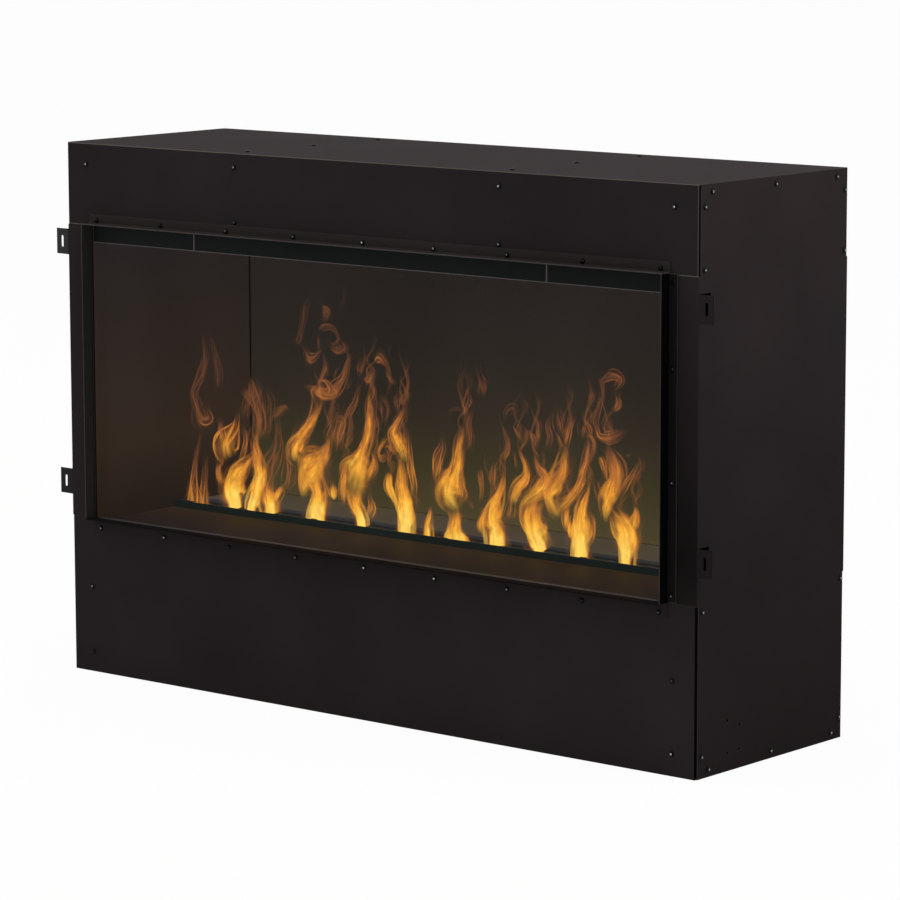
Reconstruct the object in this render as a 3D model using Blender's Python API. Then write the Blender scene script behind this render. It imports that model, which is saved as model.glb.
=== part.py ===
"""A built-in electric fireplace whose flames are lit water vapour.

A black sheet-metal firebox for a wall opening, with a trim frame, a lift-up glass pane and a lift-out cassette.
Metres. +X is to the right of someone who looks at the fire, +Y goes back into the wall, +Z is up. The origin is
on the floor, at the middle of the whole part's footprint. Depths count back from the firebox's front plane.
"""

import math

import bmesh
import bpy
from mathutils import Matrix, Vector

# Sheet and clearances
SHEET = 0.0012
BEND = 0.0008
GAP = 0.0003
SLIDE_GAP = 0.0006
OVERRUN = 0.004

# Firebox
BOX_WIDTH = 1.1144
BOX_HEIGHT = 0.762
BOX_DEPTH = 0.329
LOWER_PANEL_TOP = 0.225
UPPER_PANEL_HEIGHT = 0.116
RETURN_DEPTH = 0.020
PLATE_FLANGE = 0.018
STILE_WIDTH = 0.0467

# Trim frame round the opening
STILE_SHOW = 0.0462
SILL_RISE = 0.0012
HEAD_RECESS = 0.0024
TRIM_REACH = 0.019
TRIM_TOP_FLANGE = 0.0145
TRIM_SIDE_FLANGE = 0.0142
TRIM_BOTTOM_FLANGE = 0.0186
TRIM_SCREW_DROP = 0.0086
TRIM_SCREW_END = 0.013
TRIM_COUNT_EACH_WAY = 4

# Mounting tabs, bent out of the side panels: above the lower panel, and below the upper panel
TAB_REACH = 0.0225
TAB_HEIGHT = 0.0365
TAB_CENTER_OUT = 0.0116
SLOT_WIDTH = 0.0045
SLOT_HEIGHT = 0.0168
LEFT_TAB_INSETS = (0.0489, 0.0260)
RIGHT_TAB_INSETS = (0.0570, 0.0400)

# Screws
HEAD_RADIUS = 0.0040
HEAD_RISE = 0.0018
HEAD_TOP_SHARE = 0.55
SHANK_RADIUS = 0.0017
SHANK_LENGTH = 0.0053
HOLE_RADIUS = 0.0022
LINER_SCREW_IN = 0.0102
LINER_SCREW_END = 0.0295
LINER_SCREW_UNDER_SILL = 0.1001
STILE_SCREW_INSETS = (0.0090, 0.0113)
STILE_SCREW_SHARES = (0.3667, 0.7120)
PLATE_SCREW_DROP = 0.0100
PLATE_SCREW_END = 0.0270
SIDE_SCREW_FRONT = 0.0117
SIDE_SCREW_REAR = 0.0085
PANEL_END_SCREW = 0.0285
PANEL_SEAM_SCREW = 0.0080
PILOT_HOLES = ((0.069, 0.0668), (0.096, 0.0573), (0.069, 0.0241), (0.095, 0.0251))

# Inner walls, braces and shelf
LINER_FLANGE = 0.0215
LINER_SETBACK = 0.0025
CEILING_GUIDE_DROP = 0.0327
BRACE_X_SHARE = 0.42
BRACE_FLANGE = 0.020
BRACE_SCREW_INSETS = (0.0210, 0.0193)
SHELF_DROP = 0.0035
SHELF_FRONT_DROP = 0.016
SHELF_REAR_DROP = 0.012

# Valance strips and the glass pane
VALANCE_OVER = 0.0116
VALANCE_UNDER = 0.0264
VALANCE_SEAM_X_SHARE = 0.5603
VALANCE_SEAM = 0.0010
PANE_THICK = 0.004
PANE_SIDE_GAP = 0.0025
PANE_OVERLAP = 0.016
CHANNEL_WALL = 0.0010
CHANNEL_HEIGHT = 0.0042

# Supply entry on the left side
ENTRY_DEPTH = 0.0825
ENTRY_HEIGHT = 0.0485
TERMINAL_BOX_SIZE = (0.042, 0.052, 0.056)
TERMINAL_BOX_WALL = 0.002
TERMINAL_BLOCK_SIZE = (0.014, 0.030, 0.020)
GLAND_BORE = 0.0050
GLAND_THREAD = 0.0080
GLAND_NUT = 0.0120
GLAND_NUT_THICK = 0.005
GLAND_CAP = 0.0105
GLAND_MOUTH = 0.0083
GLAND_OUT = 0.017
GLAND_IN = 0.009

# Vapour cassette
CASSETTE_DEPTH = 0.162
CASSETTE_REAR_GAP = 0.007
CASSETTE_END_GAP = 0.0045
COVER_END_GAP = 0.0010
OUTLET_RISE = 0.005
OUTLET_DEPTH = 0.049
OUTLET_DROP = 0.012
MIST_SLOT_SETBACK = 0.006
MIST_SLOT_WIDTH = 0.018
MIST_SLOT_END = 0.024
MIST_SLOT_BRIDGE = 0.010
MIST_SLOT_COUNT = 4
DECK_STEP = 0.004
DECK_DROP = 0.010
FOOT_RADIUS = 0.010
FOOT_HEIGHT = 0.0030
FOOT_IN = 0.040

# Water sump, mist duct and lights
SUMP_CONTROL_GAP = 0.010
SUMP_SETBACK = 0.010
SUMP_REAR_GAP = 0.006
SUMP_TOP = 0.070
SUMP_WALL = 0.0025
DUCT_WALL = 0.0012
DUCT_SETBACK = 0.012
DUCT_FOOT_DEPTH = 0.058
DUCT_END = 0.018
DUCT_UNDER_OUTLET = 0.018
DUCT_SEAT = 0.006
TRANSDUCER_RADIUS = 0.020
TRANSDUCER_HEIGHT = 0.012
DISC_RADIUS = 0.009
DISC_RECESS = 0.003
TRANSDUCER_COUNT = 4
LIGHT_BAR_DEPTH = 0.0104
LIGHT_BAR_HEIGHT = 0.0137
LENS_DEPTH = 0.0016
LENS_HEIGHT = 0.009
LENS_END = 0.002

# Fans
FAN_SIZE = 0.060
FAN_DEPTH = 0.020
FAN_BORE = 0.028
FAN_END = 0.059
FAN_HEIGHT = 0.110
FAN_BAR_WIDTH = 0.005
FAN_BAR_DEPTH = 0.003
FAN_BAR_INSET = 0.0005
FAN_BOSS_RADIUS = 0.010
FAN_BOSS_DEPTH = 0.004
HUB_RADIUS = 0.010
HUB_DEPTH = 0.013
BLADE_COUNT = 5
BLADE_REACH = 0.0265
BLADE_CHORD = 0.012
BLADE_THICK = 0.0015
BLADE_PITCH = math.radians(40)

# Float, inlet valve
FLOAT_SETBACK = 0.115
STEM_RADIUS = 0.0030
STEM_COLLAR_RADIUS = 0.0060
STEM_COLLAR = 0.0025
STEM_CLEARANCE = 0.0040
FLOAT_RADIUS = 0.012
FLOAT_HEIGHT = 0.014
FLOAT_BORE_GAP = 0.0004
FLOAT_TRAVEL = 0.020
VALVE_SIZE = (0.045, 0.033, 0.034)
VALVE_SETBACK = 0.0113
VALVE_HEIGHT = 0.028
COIL_RADIUS = 0.011
COIL_HEIGHT = 0.024
SPIGOT_RADIUS = 0.0050
SPIGOT_BORE = 0.0018
SPIGOT_HOLE = 0.0070

# Control box
CONTROL_END_GAP = 0.006
CONTROL_LENGTH = 0.158
CONTROL_REAR_GAP = 0.004
CONTROL_DEPTH = 0.086
CONTROL_UNDER_OUTLET = 0.034
CONTROL_WALL = 0.0025
SUPPLY_SIZE = (0.080, 0.050, 0.050)
SUPPLY_INSET = 0.008
BOARD_THICK = 0.0016
BOARD_TOP_GAP = 0.0272
BOARD_BACK_GAP = 0.012
CHIP_SIZE = (0.016, 0.004, 0.016)
SWITCH_IN = 0.038
BUTTONS_IN = (0.030, 0.060)
ROCKER_LENGTH = 0.013
ROCKER_WIDTH = 0.012
ROCKER_RISE = 0.0046
ROCKER_DIP = 0.0024
ROCKER_KEEL = 0.0020
ROCKER_THROW = math.radians(10)
ROCKER_HOLE = 0.0150
BUTTON_RADIUS = 0.0047
BUTTON_RISE = 0.0035
BUTTON_SKIRT_RADIUS = 0.0065
BUTTON_SKIRT = 0.004

# How round things are drawn
BEND_STEPS = 2
HEAD_SIDES = 6
HOLE_SIDES = 6
ROUND_SIDES = 16
SMALL_SIDES = 12
SHARP_ANGLE = math.radians(40)

# Places worked out from the sizes above
SIDE = BOX_WIDTH / 2
INSIDE = SIDE - SHEET - GAP
UPPER_PANEL_LOW = BOX_HEIGHT - UPPER_PANEL_HEIGHT
OPENING_WIDTH = BOX_WIDTH - 2 * STILE_SHOW
OPENING_LOW = LOWER_PANEL_TOP + SILL_RISE
OPENING_TOP = UPPER_PANEL_LOW + HEAD_RECESS
TRIM_FACE = GAP + SHEET
LINER_X = OPENING_WIDTH / 2 - LINER_SETBACK
LINER_SCREW_X = LINER_X + LINER_SCREW_IN
STILE_EDGE = SIDE - STILE_WIDTH
BEHIND_PANEL = SHEET + GAP
SHELF_TOP = LOWER_PANEL_TOP - SHELF_DROP
VALANCE_TOP = OPENING_TOP + VALANCE_OVER
VALANCE_LOW = OPENING_TOP - VALANCE_UNDER
VALANCE_SEAM_X = SIDE * VALANCE_SEAM_X_SHARE
CEILING_TOP = VALANCE_TOP + GAP + GAP
PANE_TOP = VALANCE_LOW + PANE_OVERLAP
PANE_DEPTH = BEHIND_PANEL + SHEET + GAP + GAP
PANE_HALF = LINER_X - PANE_SIDE_GAP
TRIM_SCREW_TOP = OPENING_TOP + TRIM_TOP_FLANGE - TRIM_SCREW_DROP
TRIM_SCREW_LOW = OPENING_LOW - TRIM_BOTTOM_FLANGE + TRIM_SCREW_DROP / 2
TRIM_SCREW_PITCH = (OPENING_WIDTH / 2 - TRIM_SCREW_END) / TRIM_COUNT_EACH_WAY
REAR_COUNT_EACH_WAY = TRIM_COUNT_EACH_WAY // 2
PLATE_SCREW_STEP = BOX_DEPTH / 2 - PLATE_SCREW_END
BRACE_X = SIDE * BRACE_X_SHARE
LEFT_TAB_HEIGHTS = (LOWER_PANEL_TOP + LEFT_TAB_INSETS[0], UPPER_PANEL_LOW - LEFT_TAB_INSETS[1])
RIGHT_TAB_HEIGHTS = (LOWER_PANEL_TOP + RIGHT_TAB_INSETS[0], UPPER_PANEL_LOW - RIGHT_TAB_INSETS[1])
HEADS_BEHIND = TRIM_FACE + GAP + HEAD_RISE
FRONT = (TRIM_REACH - HEADS_BEHIND - BOX_DEPTH) / 2
BACK = FRONT + BOX_DEPTH
CASSETTE_BACK = BOX_DEPTH - CASSETTE_REAR_GAP
CASSETTE_FRONT = CASSETTE_BACK - CASSETTE_DEPTH
CASSETTE_HALF = LINER_X - CASSETTE_END_GAP
COVER_HALF = LINER_X - COVER_END_GAP
CASSETTE_FLOOR = SHEET + GAP + FOOT_HEIGHT
WALL_FRONT = CASSETTE_FRONT + SHEET + GAP
OUTLET_TOP = LOWER_PANEL_TOP + OUTLET_RISE
OUTLET_BACK = CASSETTE_FRONT + OUTLET_DEPTH
DECK_TOP = OUTLET_TOP - DECK_STEP
UNDER_OUTLET = OUTLET_TOP - SHEET - GAP
UNDER_DECK = DECK_TOP - SHEET - GAP
INNER_FLOOR = CASSETTE_FLOOR + SHEET + GAP
MIST_SLOT_DEPTH = CASSETTE_FRONT + MIST_SLOT_SETBACK
CONTROL_HIGH_X = CASSETTE_HALF - CONTROL_END_GAP
CONTROL_LOW_X = CONTROL_HIGH_X - CONTROL_LENGTH
CONTROL_BACK = CASSETTE_BACK - CONTROL_REAR_GAP
CONTROL_FRONT = CONTROL_BACK - CONTROL_DEPTH
CONTROL_TOP = OUTLET_TOP - CONTROL_UNDER_OUTLET
PANEL_TOP = CONTROL_TOP + GAP + CONTROL_WALL
SWITCH_X = CONTROL_HIGH_X - SWITCH_IN
BUTTON_XS = (CONTROL_LOW_X + BUTTONS_IN[0], CONTROL_LOW_X + BUTTONS_IN[1])
SUMP_HALF = CONTROL_LOW_X - SUMP_CONTROL_GAP
SUMP_FRONT = CASSETTE_FRONT + SUMP_SETBACK
SUMP_BACK = CASSETTE_BACK - SUMP_REAR_GAP
LID_TOP = SUMP_TOP + GAP + SUMP_WALL
DUCT_FRONT = CASSETTE_FRONT + DUCT_SETBACK
DUCT_FOOT_HALF = SUMP_HALF - DUCT_END
DUCT_TOP = OUTLET_TOP - DUCT_UNDER_OUTLET
TRANSDUCER_PITCH = 2 * DUCT_FOOT_HALF / TRANSDUCER_COUNT
FLOAT_DEPTH = CASSETTE_FRONT + FLOAT_SETBACK
FAN_X = CASSETTE_HALF - FAN_END
VALVE_X = -FAN_X
VALVE_DEPTH = WALL_FRONT + SHEET + VALVE_SETBACK


def clear_scene():
    for thing in list(bpy.data.objects):
        bpy.data.objects.remove(thing, do_unlink=True)


def look(name, colour, roughness, metallic=0.0):
    """A plain Principled material."""
    made = bpy.data.materials.new(name)
    made.use_nodes = True
    shader = made.node_tree.nodes["Principled BSDF"]
    shader.inputs["Base Color"].default_value = (*colour, 1)
    shader.inputs["Roughness"].default_value = roughness
    shader.inputs["Metallic"].default_value = metallic
    return made


clear_scene()

POWDER = look("powder_coat", (0.020, 0.018, 0.018), 0.55)
LINER = look("liner_paint", (0.030, 0.024, 0.021), 0.60)
TRIM = look("trim_coat", (0.014, 0.013, 0.013), 0.45)
GLOSS = look("valance_coat", (0.008, 0.010, 0.010), 0.25)
ZINC = look("zinc_sheet", (0.45, 0.46, 0.47), 0.40, 1.0)
GLASS = look("glass", (0.80, 0.86, 0.84), 0.05)
PLASTIC = look("black_plastic", (0.025, 0.025, 0.027), 0.50)
GREY = look("grey_plastic", (0.35, 0.36, 0.37), 0.50)
RUBBER = look("rubber", (0.020, 0.020, 0.020), 0.85)
BOARD = look("circuit_board", (0.03, 0.14, 0.06), 0.45)
LENS = look("lens", (0.95, 0.75, 0.45), 0.30)
BRASS = look("brass", (0.55, 0.40, 0.16), 0.35, 1.0)


# Meshes, all written in world places

def finished(bm, name):
    bmesh.ops.recalc_face_normals(bm, faces=bm.faces)
    mesh = bpy.data.meshes.new(name)
    bm.to_mesh(mesh)
    bm.free()
    return mesh


def axes(axis):
    """The two axes across a named one, in X, Y, Z order, and the named one itself, each as an index."""
    along = "XYZ".index(axis)
    first, second = [k for k in range(len("XYZ")) if k != along]
    return first, second, along


def prism(bm, outline, axis, low, high):
    """Sweeps an outline along an axis. Its two coordinates are the other two axes, in X, Y, Z order."""
    first, second, along = axes(axis)
    loops = []
    for level in (low, high):
        loop = []
        for a, b in outline:
            place = [0.0, 0.0, 0.0]
            place[first], place[second], place[along] = a, b, level
            loop.append(bm.verts.new(place))
        loops.append(loop)
        bm.faces.new(loop)
    for k in range(len(outline)):
        bm.faces.new((loops[0][k], loops[0][k - 1], loops[1][k - 1], loops[1][k]))


def block(bm, xs, ys, zs):
    (x0, x1), (y0, y1), (z0, z1) = xs, ys, zs
    prism(bm, [(x0, y0), (x1, y0), (x1, y1), (x0, y1)], "Z", z0, z1)


def circle(centre, radius, sides):
    turn = 2 * math.pi / sides
    return [
        (centre[0] + radius * math.cos((k + 0.5) * turn), centre[1] + radius * math.sin((k + 0.5) * turn))
        for k in range(sides)
    ]


def turned(bm, profile, axis, centre, sides, ring=False):
    """Turns a profile of (radius, place along the axis) round an axis. A ring's profile is closed."""
    first, second, along = axes(axis)
    rings = []
    for radius, level in profile:
        outline = circle((centre[first], centre[second]), radius, sides) if radius else [
            (centre[first], centre[second])
        ]
        loop = []
        for a, b in outline:
            place = [0.0, 0.0, 0.0]
            place[first], place[second], place[along] = a, b, centre[along] + level
            loop.append(bm.verts.new(place))
        rings.append(loop)
    pairs = list(zip(rings, rings[1:]))
    if ring:
        pairs.append((rings[-1], rings[0]))
    for above, below in pairs:
        for k in range(sides):
            if len(above) == 1:
                corners = (above[0], below[k - 1], below[k])
            else:
                corners = (above[k], above[k - 1], below[k - 1], below[k])
            bm.faces.new(corners)
    if not ring:
        for end in (rings[0], rings[-1]):
            if len(end) > 1:
                bm.faces.new(end)


def rounded(points, radii):
    """A polyline with each inner corner drawn as an arc of its own radius."""
    result = [points[0]]
    for before, here, after, radius in zip(points, points[1:], points[2:], radii):
        into = (Vector(here) - Vector(before)).normalized()
        out = (Vector(after) - Vector(here)).normalized()
        turn = math.atan2(into.x * out.y - into.y * out.x, into.dot(out))
        start = Vector(here) - into * radius * math.tan(abs(turn) / 2)
        side = Vector((-into.y, into.x)) * math.copysign(radius, turn)
        centre = start + side
        for k in range(BEND_STEPS + 1):
            arm = Matrix.Rotation(turn * k / BEND_STEPS, 2) @ (-side)
            result.append(tuple(centre + arm))
    result.append(points[-1])
    return result


def folded(path, thick=SHEET, bend=BEND):
    """The outline of a bent sheet. One face follows the path and the other lies to its left."""
    ways = [(Vector(b) - Vector(a)).normalized() for a, b in zip(path, path[1:])]
    lefts = [Vector((-way.y, way.x)) for way in ways]
    other = [tuple(Vector(path[0]) + lefts[0] * thick)]
    near, far = [], []
    for k, corner in enumerate(path[1:-1]):
        shift = (lefts[k] + lefts[k + 1]) / (1 + lefts[k].dot(lefts[k + 1]))
        other.append(tuple(Vector(corner) + shift * thick))
        to_left = ways[k].x * ways[k + 1].y - ways[k].y * ways[k + 1].x > 0
        near.append(bend + thick if to_left else bend)
        far.append(bend if to_left else bend + thick)
    other.append(tuple(Vector(path[-1]) + lefts[-1] * thick))
    return rounded(path, near) + rounded(other, far)[::-1]


def mirrored(outline, hand):
    return [(a * hand, b) for a, b in outline]


# Objects

def empty(name, at):
    made = bpy.data.objects.new(name, None)
    made.location = at
    bpy.context.scene.collection.objects.link(made)
    return made


def place(name, bm, finish, carrier, at=None):
    """An object with its origin at a place, carried by an empty."""
    at = carrier.location if at is None else Vector(at)
    mesh = finished(bm, name)
    mesh.transform(Matrix.Translation(-at))
    mesh.materials.append(finish)
    made = bpy.data.objects.new(name, mesh)
    made.parent = carrier
    made.location = at - carrier.location
    bpy.context.scene.collection.objects.link(made)
    return made


def smooth(made):
    made.data.shade_smooth()
    made.data.set_sharp_from_angle(angle=SHARP_ANGLE)


def boolean(made, bm, label, operation):
    """Cuts or joins a hidden shape, written in world places."""
    tool = bpy.data.objects.new(f"{made.name}_{label}", finished(bm, f"{made.name}_{label}"))
    tool.hide_render = True
    tool.display_type = "WIRE"
    bpy.context.scene.collection.objects.link(tool)
    change = made.modifiers.new(label, "BOOLEAN")
    change.operation = operation
    change.object = tool


def cut(made, bm, label):
    boolean(made, bm, label, "DIFFERENCE")


def join(made, bm, label):
    boolean(made, bm, label, "UNION")


def drill(made, axis, places, level, label="holes", radius=HOLE_RADIUS, sides=HOLE_SIDES):
    """Holes along an axis through the sheet that starts within one overrun of a level."""
    bm = bmesh.new()
    for spot in places:
        prism(bm, circle(spot, radius, sides), axis, level - OVERRUN, level + OVERRUN)
    cut(made, bm, label)


def add_copy(bm, one, label):
    """Adds one piece's mesh to another and lets go of it."""
    copied = bpy.data.meshes.new(label)
    one.to_mesh(copied)
    one.free()
    bm.from_mesh(copied)
    bpy.data.meshes.remove(copied)


def drive(made, outward, heads, label="screws"):
    """Screws tapped into a sheet and one with it. Each is given by the place that its head covers."""
    bm = bmesh.new()
    profile = [
        (HEAD_RADIUS * HEAD_TOP_SHARE, GAP + HEAD_RISE),
        (HEAD_RADIUS, GAP),
        (SHANK_RADIUS, GAP),
        (SHANK_RADIUS, GAP - SHANK_LENGTH),
    ]
    aim = Vector(outward).to_track_quat("Z", "Y").to_matrix().to_4x4()
    for spot in heads:
        one = bmesh.new()
        turned(one, profile, "Z", (0, 0, 0), HEAD_SIDES)
        one.transform(Matrix.Translation(spot) @ aim)
        add_copy(bm, one, label)
    join(made, bm, label)


CASING = empty("casing", (0, 0, 0))
PANE = empty("pane", (0, FRONT + PANE_DEPTH, SHELF_TOP))
CASSETTE = empty("cassette", (0, FRONT + (CASSETTE_FRONT + CASSETTE_BACK) / 2, SHEET + GAP))

# Where the screws stand
LOWER_ROWS = [LINER_SCREW_END, LOWER_PANEL_TOP - LINER_SCREW_UNDER_SILL]
STILE_ROWS = [OPENING_LOW + STILE_SCREW_INSETS[0]]
STILE_ROWS += [OPENING_LOW + share * (OPENING_TOP - OPENING_LOW) for share in STILE_SCREW_SHARES]
STILE_ROWS += [OPENING_TOP - STILE_SCREW_INSETS[1]]
UPPER_ROWS = [BOX_HEIGHT - LINER_SCREW_END]
COLUMN_HEIGHTS = LOWER_ROWS + STILE_ROWS + UPPER_ROWS
BRACE_SCREW_HEIGHTS = (UPPER_PANEL_LOW + BRACE_SCREW_INSETS[0], BOX_HEIGHT - BRACE_SCREW_INSETS[1])
HANDS = (-1, 1)


def columns(rows):
    return [(hand * LINER_SCREW_X, z) for hand in HANDS for z in rows]


def row(count, pitch, z):
    return [(k * pitch, z) for k in range(-count, count + 1)]


TOP_ROW = row(TRIM_COUNT_EACH_WAY, TRIM_SCREW_PITCH, TRIM_SCREW_TOP)
BOTTOM_ROW = row(TRIM_COUNT_EACH_WAY, TRIM_SCREW_PITCH, TRIM_SCREW_LOW)
REAR_TOP_ROW = row(REAR_COUNT_EACH_WAY, 2 * TRIM_SCREW_PITCH, TRIM_SCREW_TOP)
REAR_BOTTOM_ROW = row(REAR_COUNT_EACH_WAY, 2 * TRIM_SCREW_PITCH, TRIM_SCREW_LOW)
BRACE_SPOTS = [(hand * BRACE_X, z) for hand in HANDS for z in BRACE_SCREW_HEIGHTS]
DEPTH_STEPS = [FRONT + BOX_DEPTH / 2 + k * PLATE_SCREW_STEP for k in (-1, 0, 1)]
TOP_SPOTS = [(hand * BRACE_X, y) for hand in HANDS for y in DEPTH_STEPS]
BASE_SPOTS = [(y, PLATE_SCREW_DROP) for y in DEPTH_STEPS]
ROOF_SPOTS = [(y, BOX_HEIGHT - PLATE_SCREW_DROP) for y in DEPTH_STEPS]
FORWARD = (0, -1, 0)
BACKWARD = (0, 1, 0)
EDGE_DEPTHS = (FRONT + SIDE_SCREW_FRONT, BACK - SIDE_SCREW_REAR)
LOWER_ENDS = (PANEL_END_SCREW, LOWER_PANEL_TOP - PANEL_SEAM_SCREW)
UPPER_ENDS = (UPPER_PANEL_LOW + PANEL_SEAM_SCREW, BOX_HEIGHT - PANEL_END_SCREW)


# Casing

def plate(name, top):
    """The top or the bottom panel: a sheet whose side flanges stand inside the side panels."""
    bm = bmesh.new()
    if top:
        z, edge = BOX_HEIGHT, BOX_HEIGHT - PLATE_FLANGE
        path = [(INSIDE, edge), (INSIDE, z), (-INSIDE, z), (-INSIDE, edge)]
    else:
        z, edge = 0, PLATE_FLANGE
        path = [(-INSIDE, edge), (-INSIDE, z), (INSIDE, z), (INSIDE, edge)]
    prism(bm, folded(path), "Y", FRONT + BEHIND_PANEL, BACK - BEHIND_PANEL)
    made = place(name, bm, POWDER, CASING)
    bm = bmesh.new()
    zs = (min(z, edge) - OVERRUN, max(z, edge) + OVERRUN)
    for hand in HANDS:
        xs = sorted((hand * (INSIDE - SHEET - BEND - GAP), hand * (INSIDE + OVERRUN)))
        block(bm, xs, (FRONT - OVERRUN, FRONT + RETURN_DEPTH + GAP), zs)
        block(bm, xs, (BACK - RETURN_DEPTH - GAP, BACK + OVERRUN), zs)
    cut(made, bm, "corners")
    for hand in HANDS:
        spots = [(hand * SIDE, y, z) for y, z in (ROOF_SPOTS if top else BASE_SPOTS)]
        drive(made, (hand, 0, 0), spots, f"screws_{hand}")
    if top:
        drill(made, "Z", TOP_SPOTS, BOX_HEIGHT)


def side_panel(name, hand, tab_heights):
    """A side: web, front and rear stiles, and two tabs bent out of it, each with a slot."""
    bm = bmesh.new()
    path = [(STILE_EDGE, FRONT), (SIDE, FRONT), (SIDE, BACK), (STILE_EDGE, BACK)]
    prism(bm, mirrored(folded(path), hand), "Z", 0, BOX_HEIGHT)
    made = place(name, bm, POWDER, CASING)
    bm = bmesh.new()
    xs = sorted((hand * (STILE_EDGE - OVERRUN), hand * (SIDE + OVERRUN)))
    edge = SHEET + BEND
    for ys in ((FRONT - OVERRUN, FRONT + edge), (BACK - edge, BACK + OVERRUN)):
        block(bm, xs, ys, (-OVERRUN, LOWER_PANEL_TOP + GAP))
        block(bm, xs, ys, (UPPER_PANEL_LOW - GAP, BOX_HEIGHT + OVERRUN))
    for z in tab_heights:
        window = sorted((hand * (SIDE - SHEET - OVERRUN), hand * (SIDE + OVERRUN)))
        half = TAB_HEIGHT / 2 + GAP
        block(bm, window, (FRONT + edge, FRONT + edge + TAB_REACH), (z - half, z + half))
    cut(made, bm, "openings")
    bm = bmesh.new()
    for z in tab_heights:
        tab = sorted((hand * (SIDE - STILE_WIDTH / 2), hand * (SIDE + TAB_REACH)))
        block(bm, tab, (FRONT, FRONT + SHEET), (z - TAB_HEIGHT / 2, z + TAB_HEIGHT / 2))
    join(made, bm, "tabs")
    bm = bmesh.new()
    for z in tab_heights:
        x = hand * (SIDE + TAB_CENTER_OUT)
        straight = (SLOT_HEIGHT - SLOT_WIDTH) / 2
        turn = math.pi / SMALL_SIDES
        arc = [k * 2 * turn for k in range(SMALL_SIDES // 2 + 1)]
        radius = SLOT_WIDTH / 2
        slot = [(x + radius * math.cos(a), z + straight + radius * math.sin(a)) for a in arc]
        slot += [(x - radius * math.cos(a), z - straight - radius * math.sin(a)) for a in arc]
        prism(bm, slot, "Y", FRONT - OVERRUN, FRONT + OVERRUN)
    cut(made, bm, "slots")
    spots = BASE_SPOTS + ROOF_SPOTS + [(y, z) for y in EDGE_DEPTHS for z in LOWER_ENDS + UPPER_ENDS]
    spots += [(FRONT + depth, z) for depth, z in PILOT_HOLES]
    drill(made, "X", spots, hand * SIDE)
    drill(made, "Y", columns(STILE_ROWS), FRONT, "front_stile")
    drill(made, "Y", columns(STILE_ROWS), BACK, "rear_stile")
    return made


def face_panel(name, rear, low, high, spots, end_heights):
    """A front or rear panel above or below the opening, with side returns inside the side panels."""
    y, inward = (BACK, -1) if rear else (FRONT, 1)
    end = y + inward * RETURN_DEPTH
    path = [(-INSIDE, end), (-INSIDE, y), (INSIDE, y), (INSIDE, end)]
    bm = bmesh.new()
    prism(bm, folded(path[::inward]), "Z", low, high)
    made = place(name, bm, POWDER, CASING)
    drill(made, "Y", spots, y)
    edge = EDGE_DEPTHS[1] if rear else EDGE_DEPTHS[0]
    for hand in HANDS:
        drive(made, (hand, 0, 0), [(hand * SIDE, edge, z) for z in end_heights], f"screws_{hand}")
    return made


def make_casing():
    plate("top_panel", True)
    plate("bottom_panel", False)
    left = side_panel("left_side_panel", -1, LEFT_TAB_HEIGHTS)
    side_panel("right_side_panel", 1, RIGHT_TAB_HEIGHTS)
    entry = [(FRONT + ENTRY_DEPTH, ENTRY_HEIGHT)]
    drill(left, "X", entry, -SIDE, "cable_entry", GLAND_THREAD + GAP, SMALL_SIDES)
    upper = (UPPER_PANEL_LOW, BOX_HEIGHT)
    lower = (0, LOWER_PANEL_TOP)
    braced = columns(UPPER_ROWS) + BRACE_SPOTS
    face_panel("upper_front_panel", False, *upper, braced + TOP_ROW, UPPER_ENDS)
    face_panel("lower_front_panel", False, *lower, columns(LOWER_ROWS) + BOTTOM_ROW, LOWER_ENDS)
    made = face_panel("upper_rear_panel", True, *upper, braced, UPPER_ENDS)
    drive(made, BACKWARD, [(x, BACK + TRIM_FACE, z) for x, z in REAR_TOP_ROW])
    made = face_panel("lower_rear_panel", True, *lower, columns(LOWER_ROWS), LOWER_ENDS)
    drive(made, BACKWARD, [(x, BACK + TRIM_FACE, z) for x, z in REAR_BOTTOM_ROW])
    bm = bmesh.new()
    half = OPENING_WIDTH / 2 + TRIM_SIDE_FLANGE
    zs = (OPENING_LOW - TRIM_BOTTOM_FLANGE, OPENING_TOP + TRIM_TOP_FLANGE)
    block(bm, (-half, half), (BACK + GAP, BACK + TRIM_FACE), zs)
    center = place("rear_center_panel", bm, LINER, CASING)
    drill(center, "Y", columns(STILE_ROWS) + REAR_TOP_ROW + REAR_BOTTOM_ROW, BACK)


# Trim frame and valance

def make_trim():
    half = OPENING_WIDTH / 2
    rim, seat = FRONT - TRIM_REACH, FRONT - GAP
    profiles = {
        "trim_top": [(rim, OPENING_TOP), (seat, OPENING_TOP), (seat, OPENING_TOP + TRIM_TOP_FLANGE)],
        "trim_bottom": [(seat, OPENING_LOW - TRIM_BOTTOM_FLANGE), (seat, OPENING_LOW), (rim, OPENING_LOW)],
    }
    for name, path in profiles.items():
        bm = bmesh.new()
        prism(bm, folded(path), "X", -half - SHEET, half + SHEET)
        made = place(name, bm, TRIM, CASING)
        drill(made, "Y", TOP_ROW if name == "trim_top" else BOTTOM_ROW, seat)
    for name, hand in (("trim_left", -1), ("trim_right", 1)):
        path = [(half + TRIM_SIDE_FLANGE, seat), (half, seat), (half, rim)]
        bm = bmesh.new()
        prism(bm, mirrored(folded(path), hand), "Z", OPENING_LOW + GAP, OPENING_TOP - GAP)
        made = place(name, bm, TRIM, CASING)
        drill(made, "Y", columns(STILE_ROWS), seat)


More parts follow.
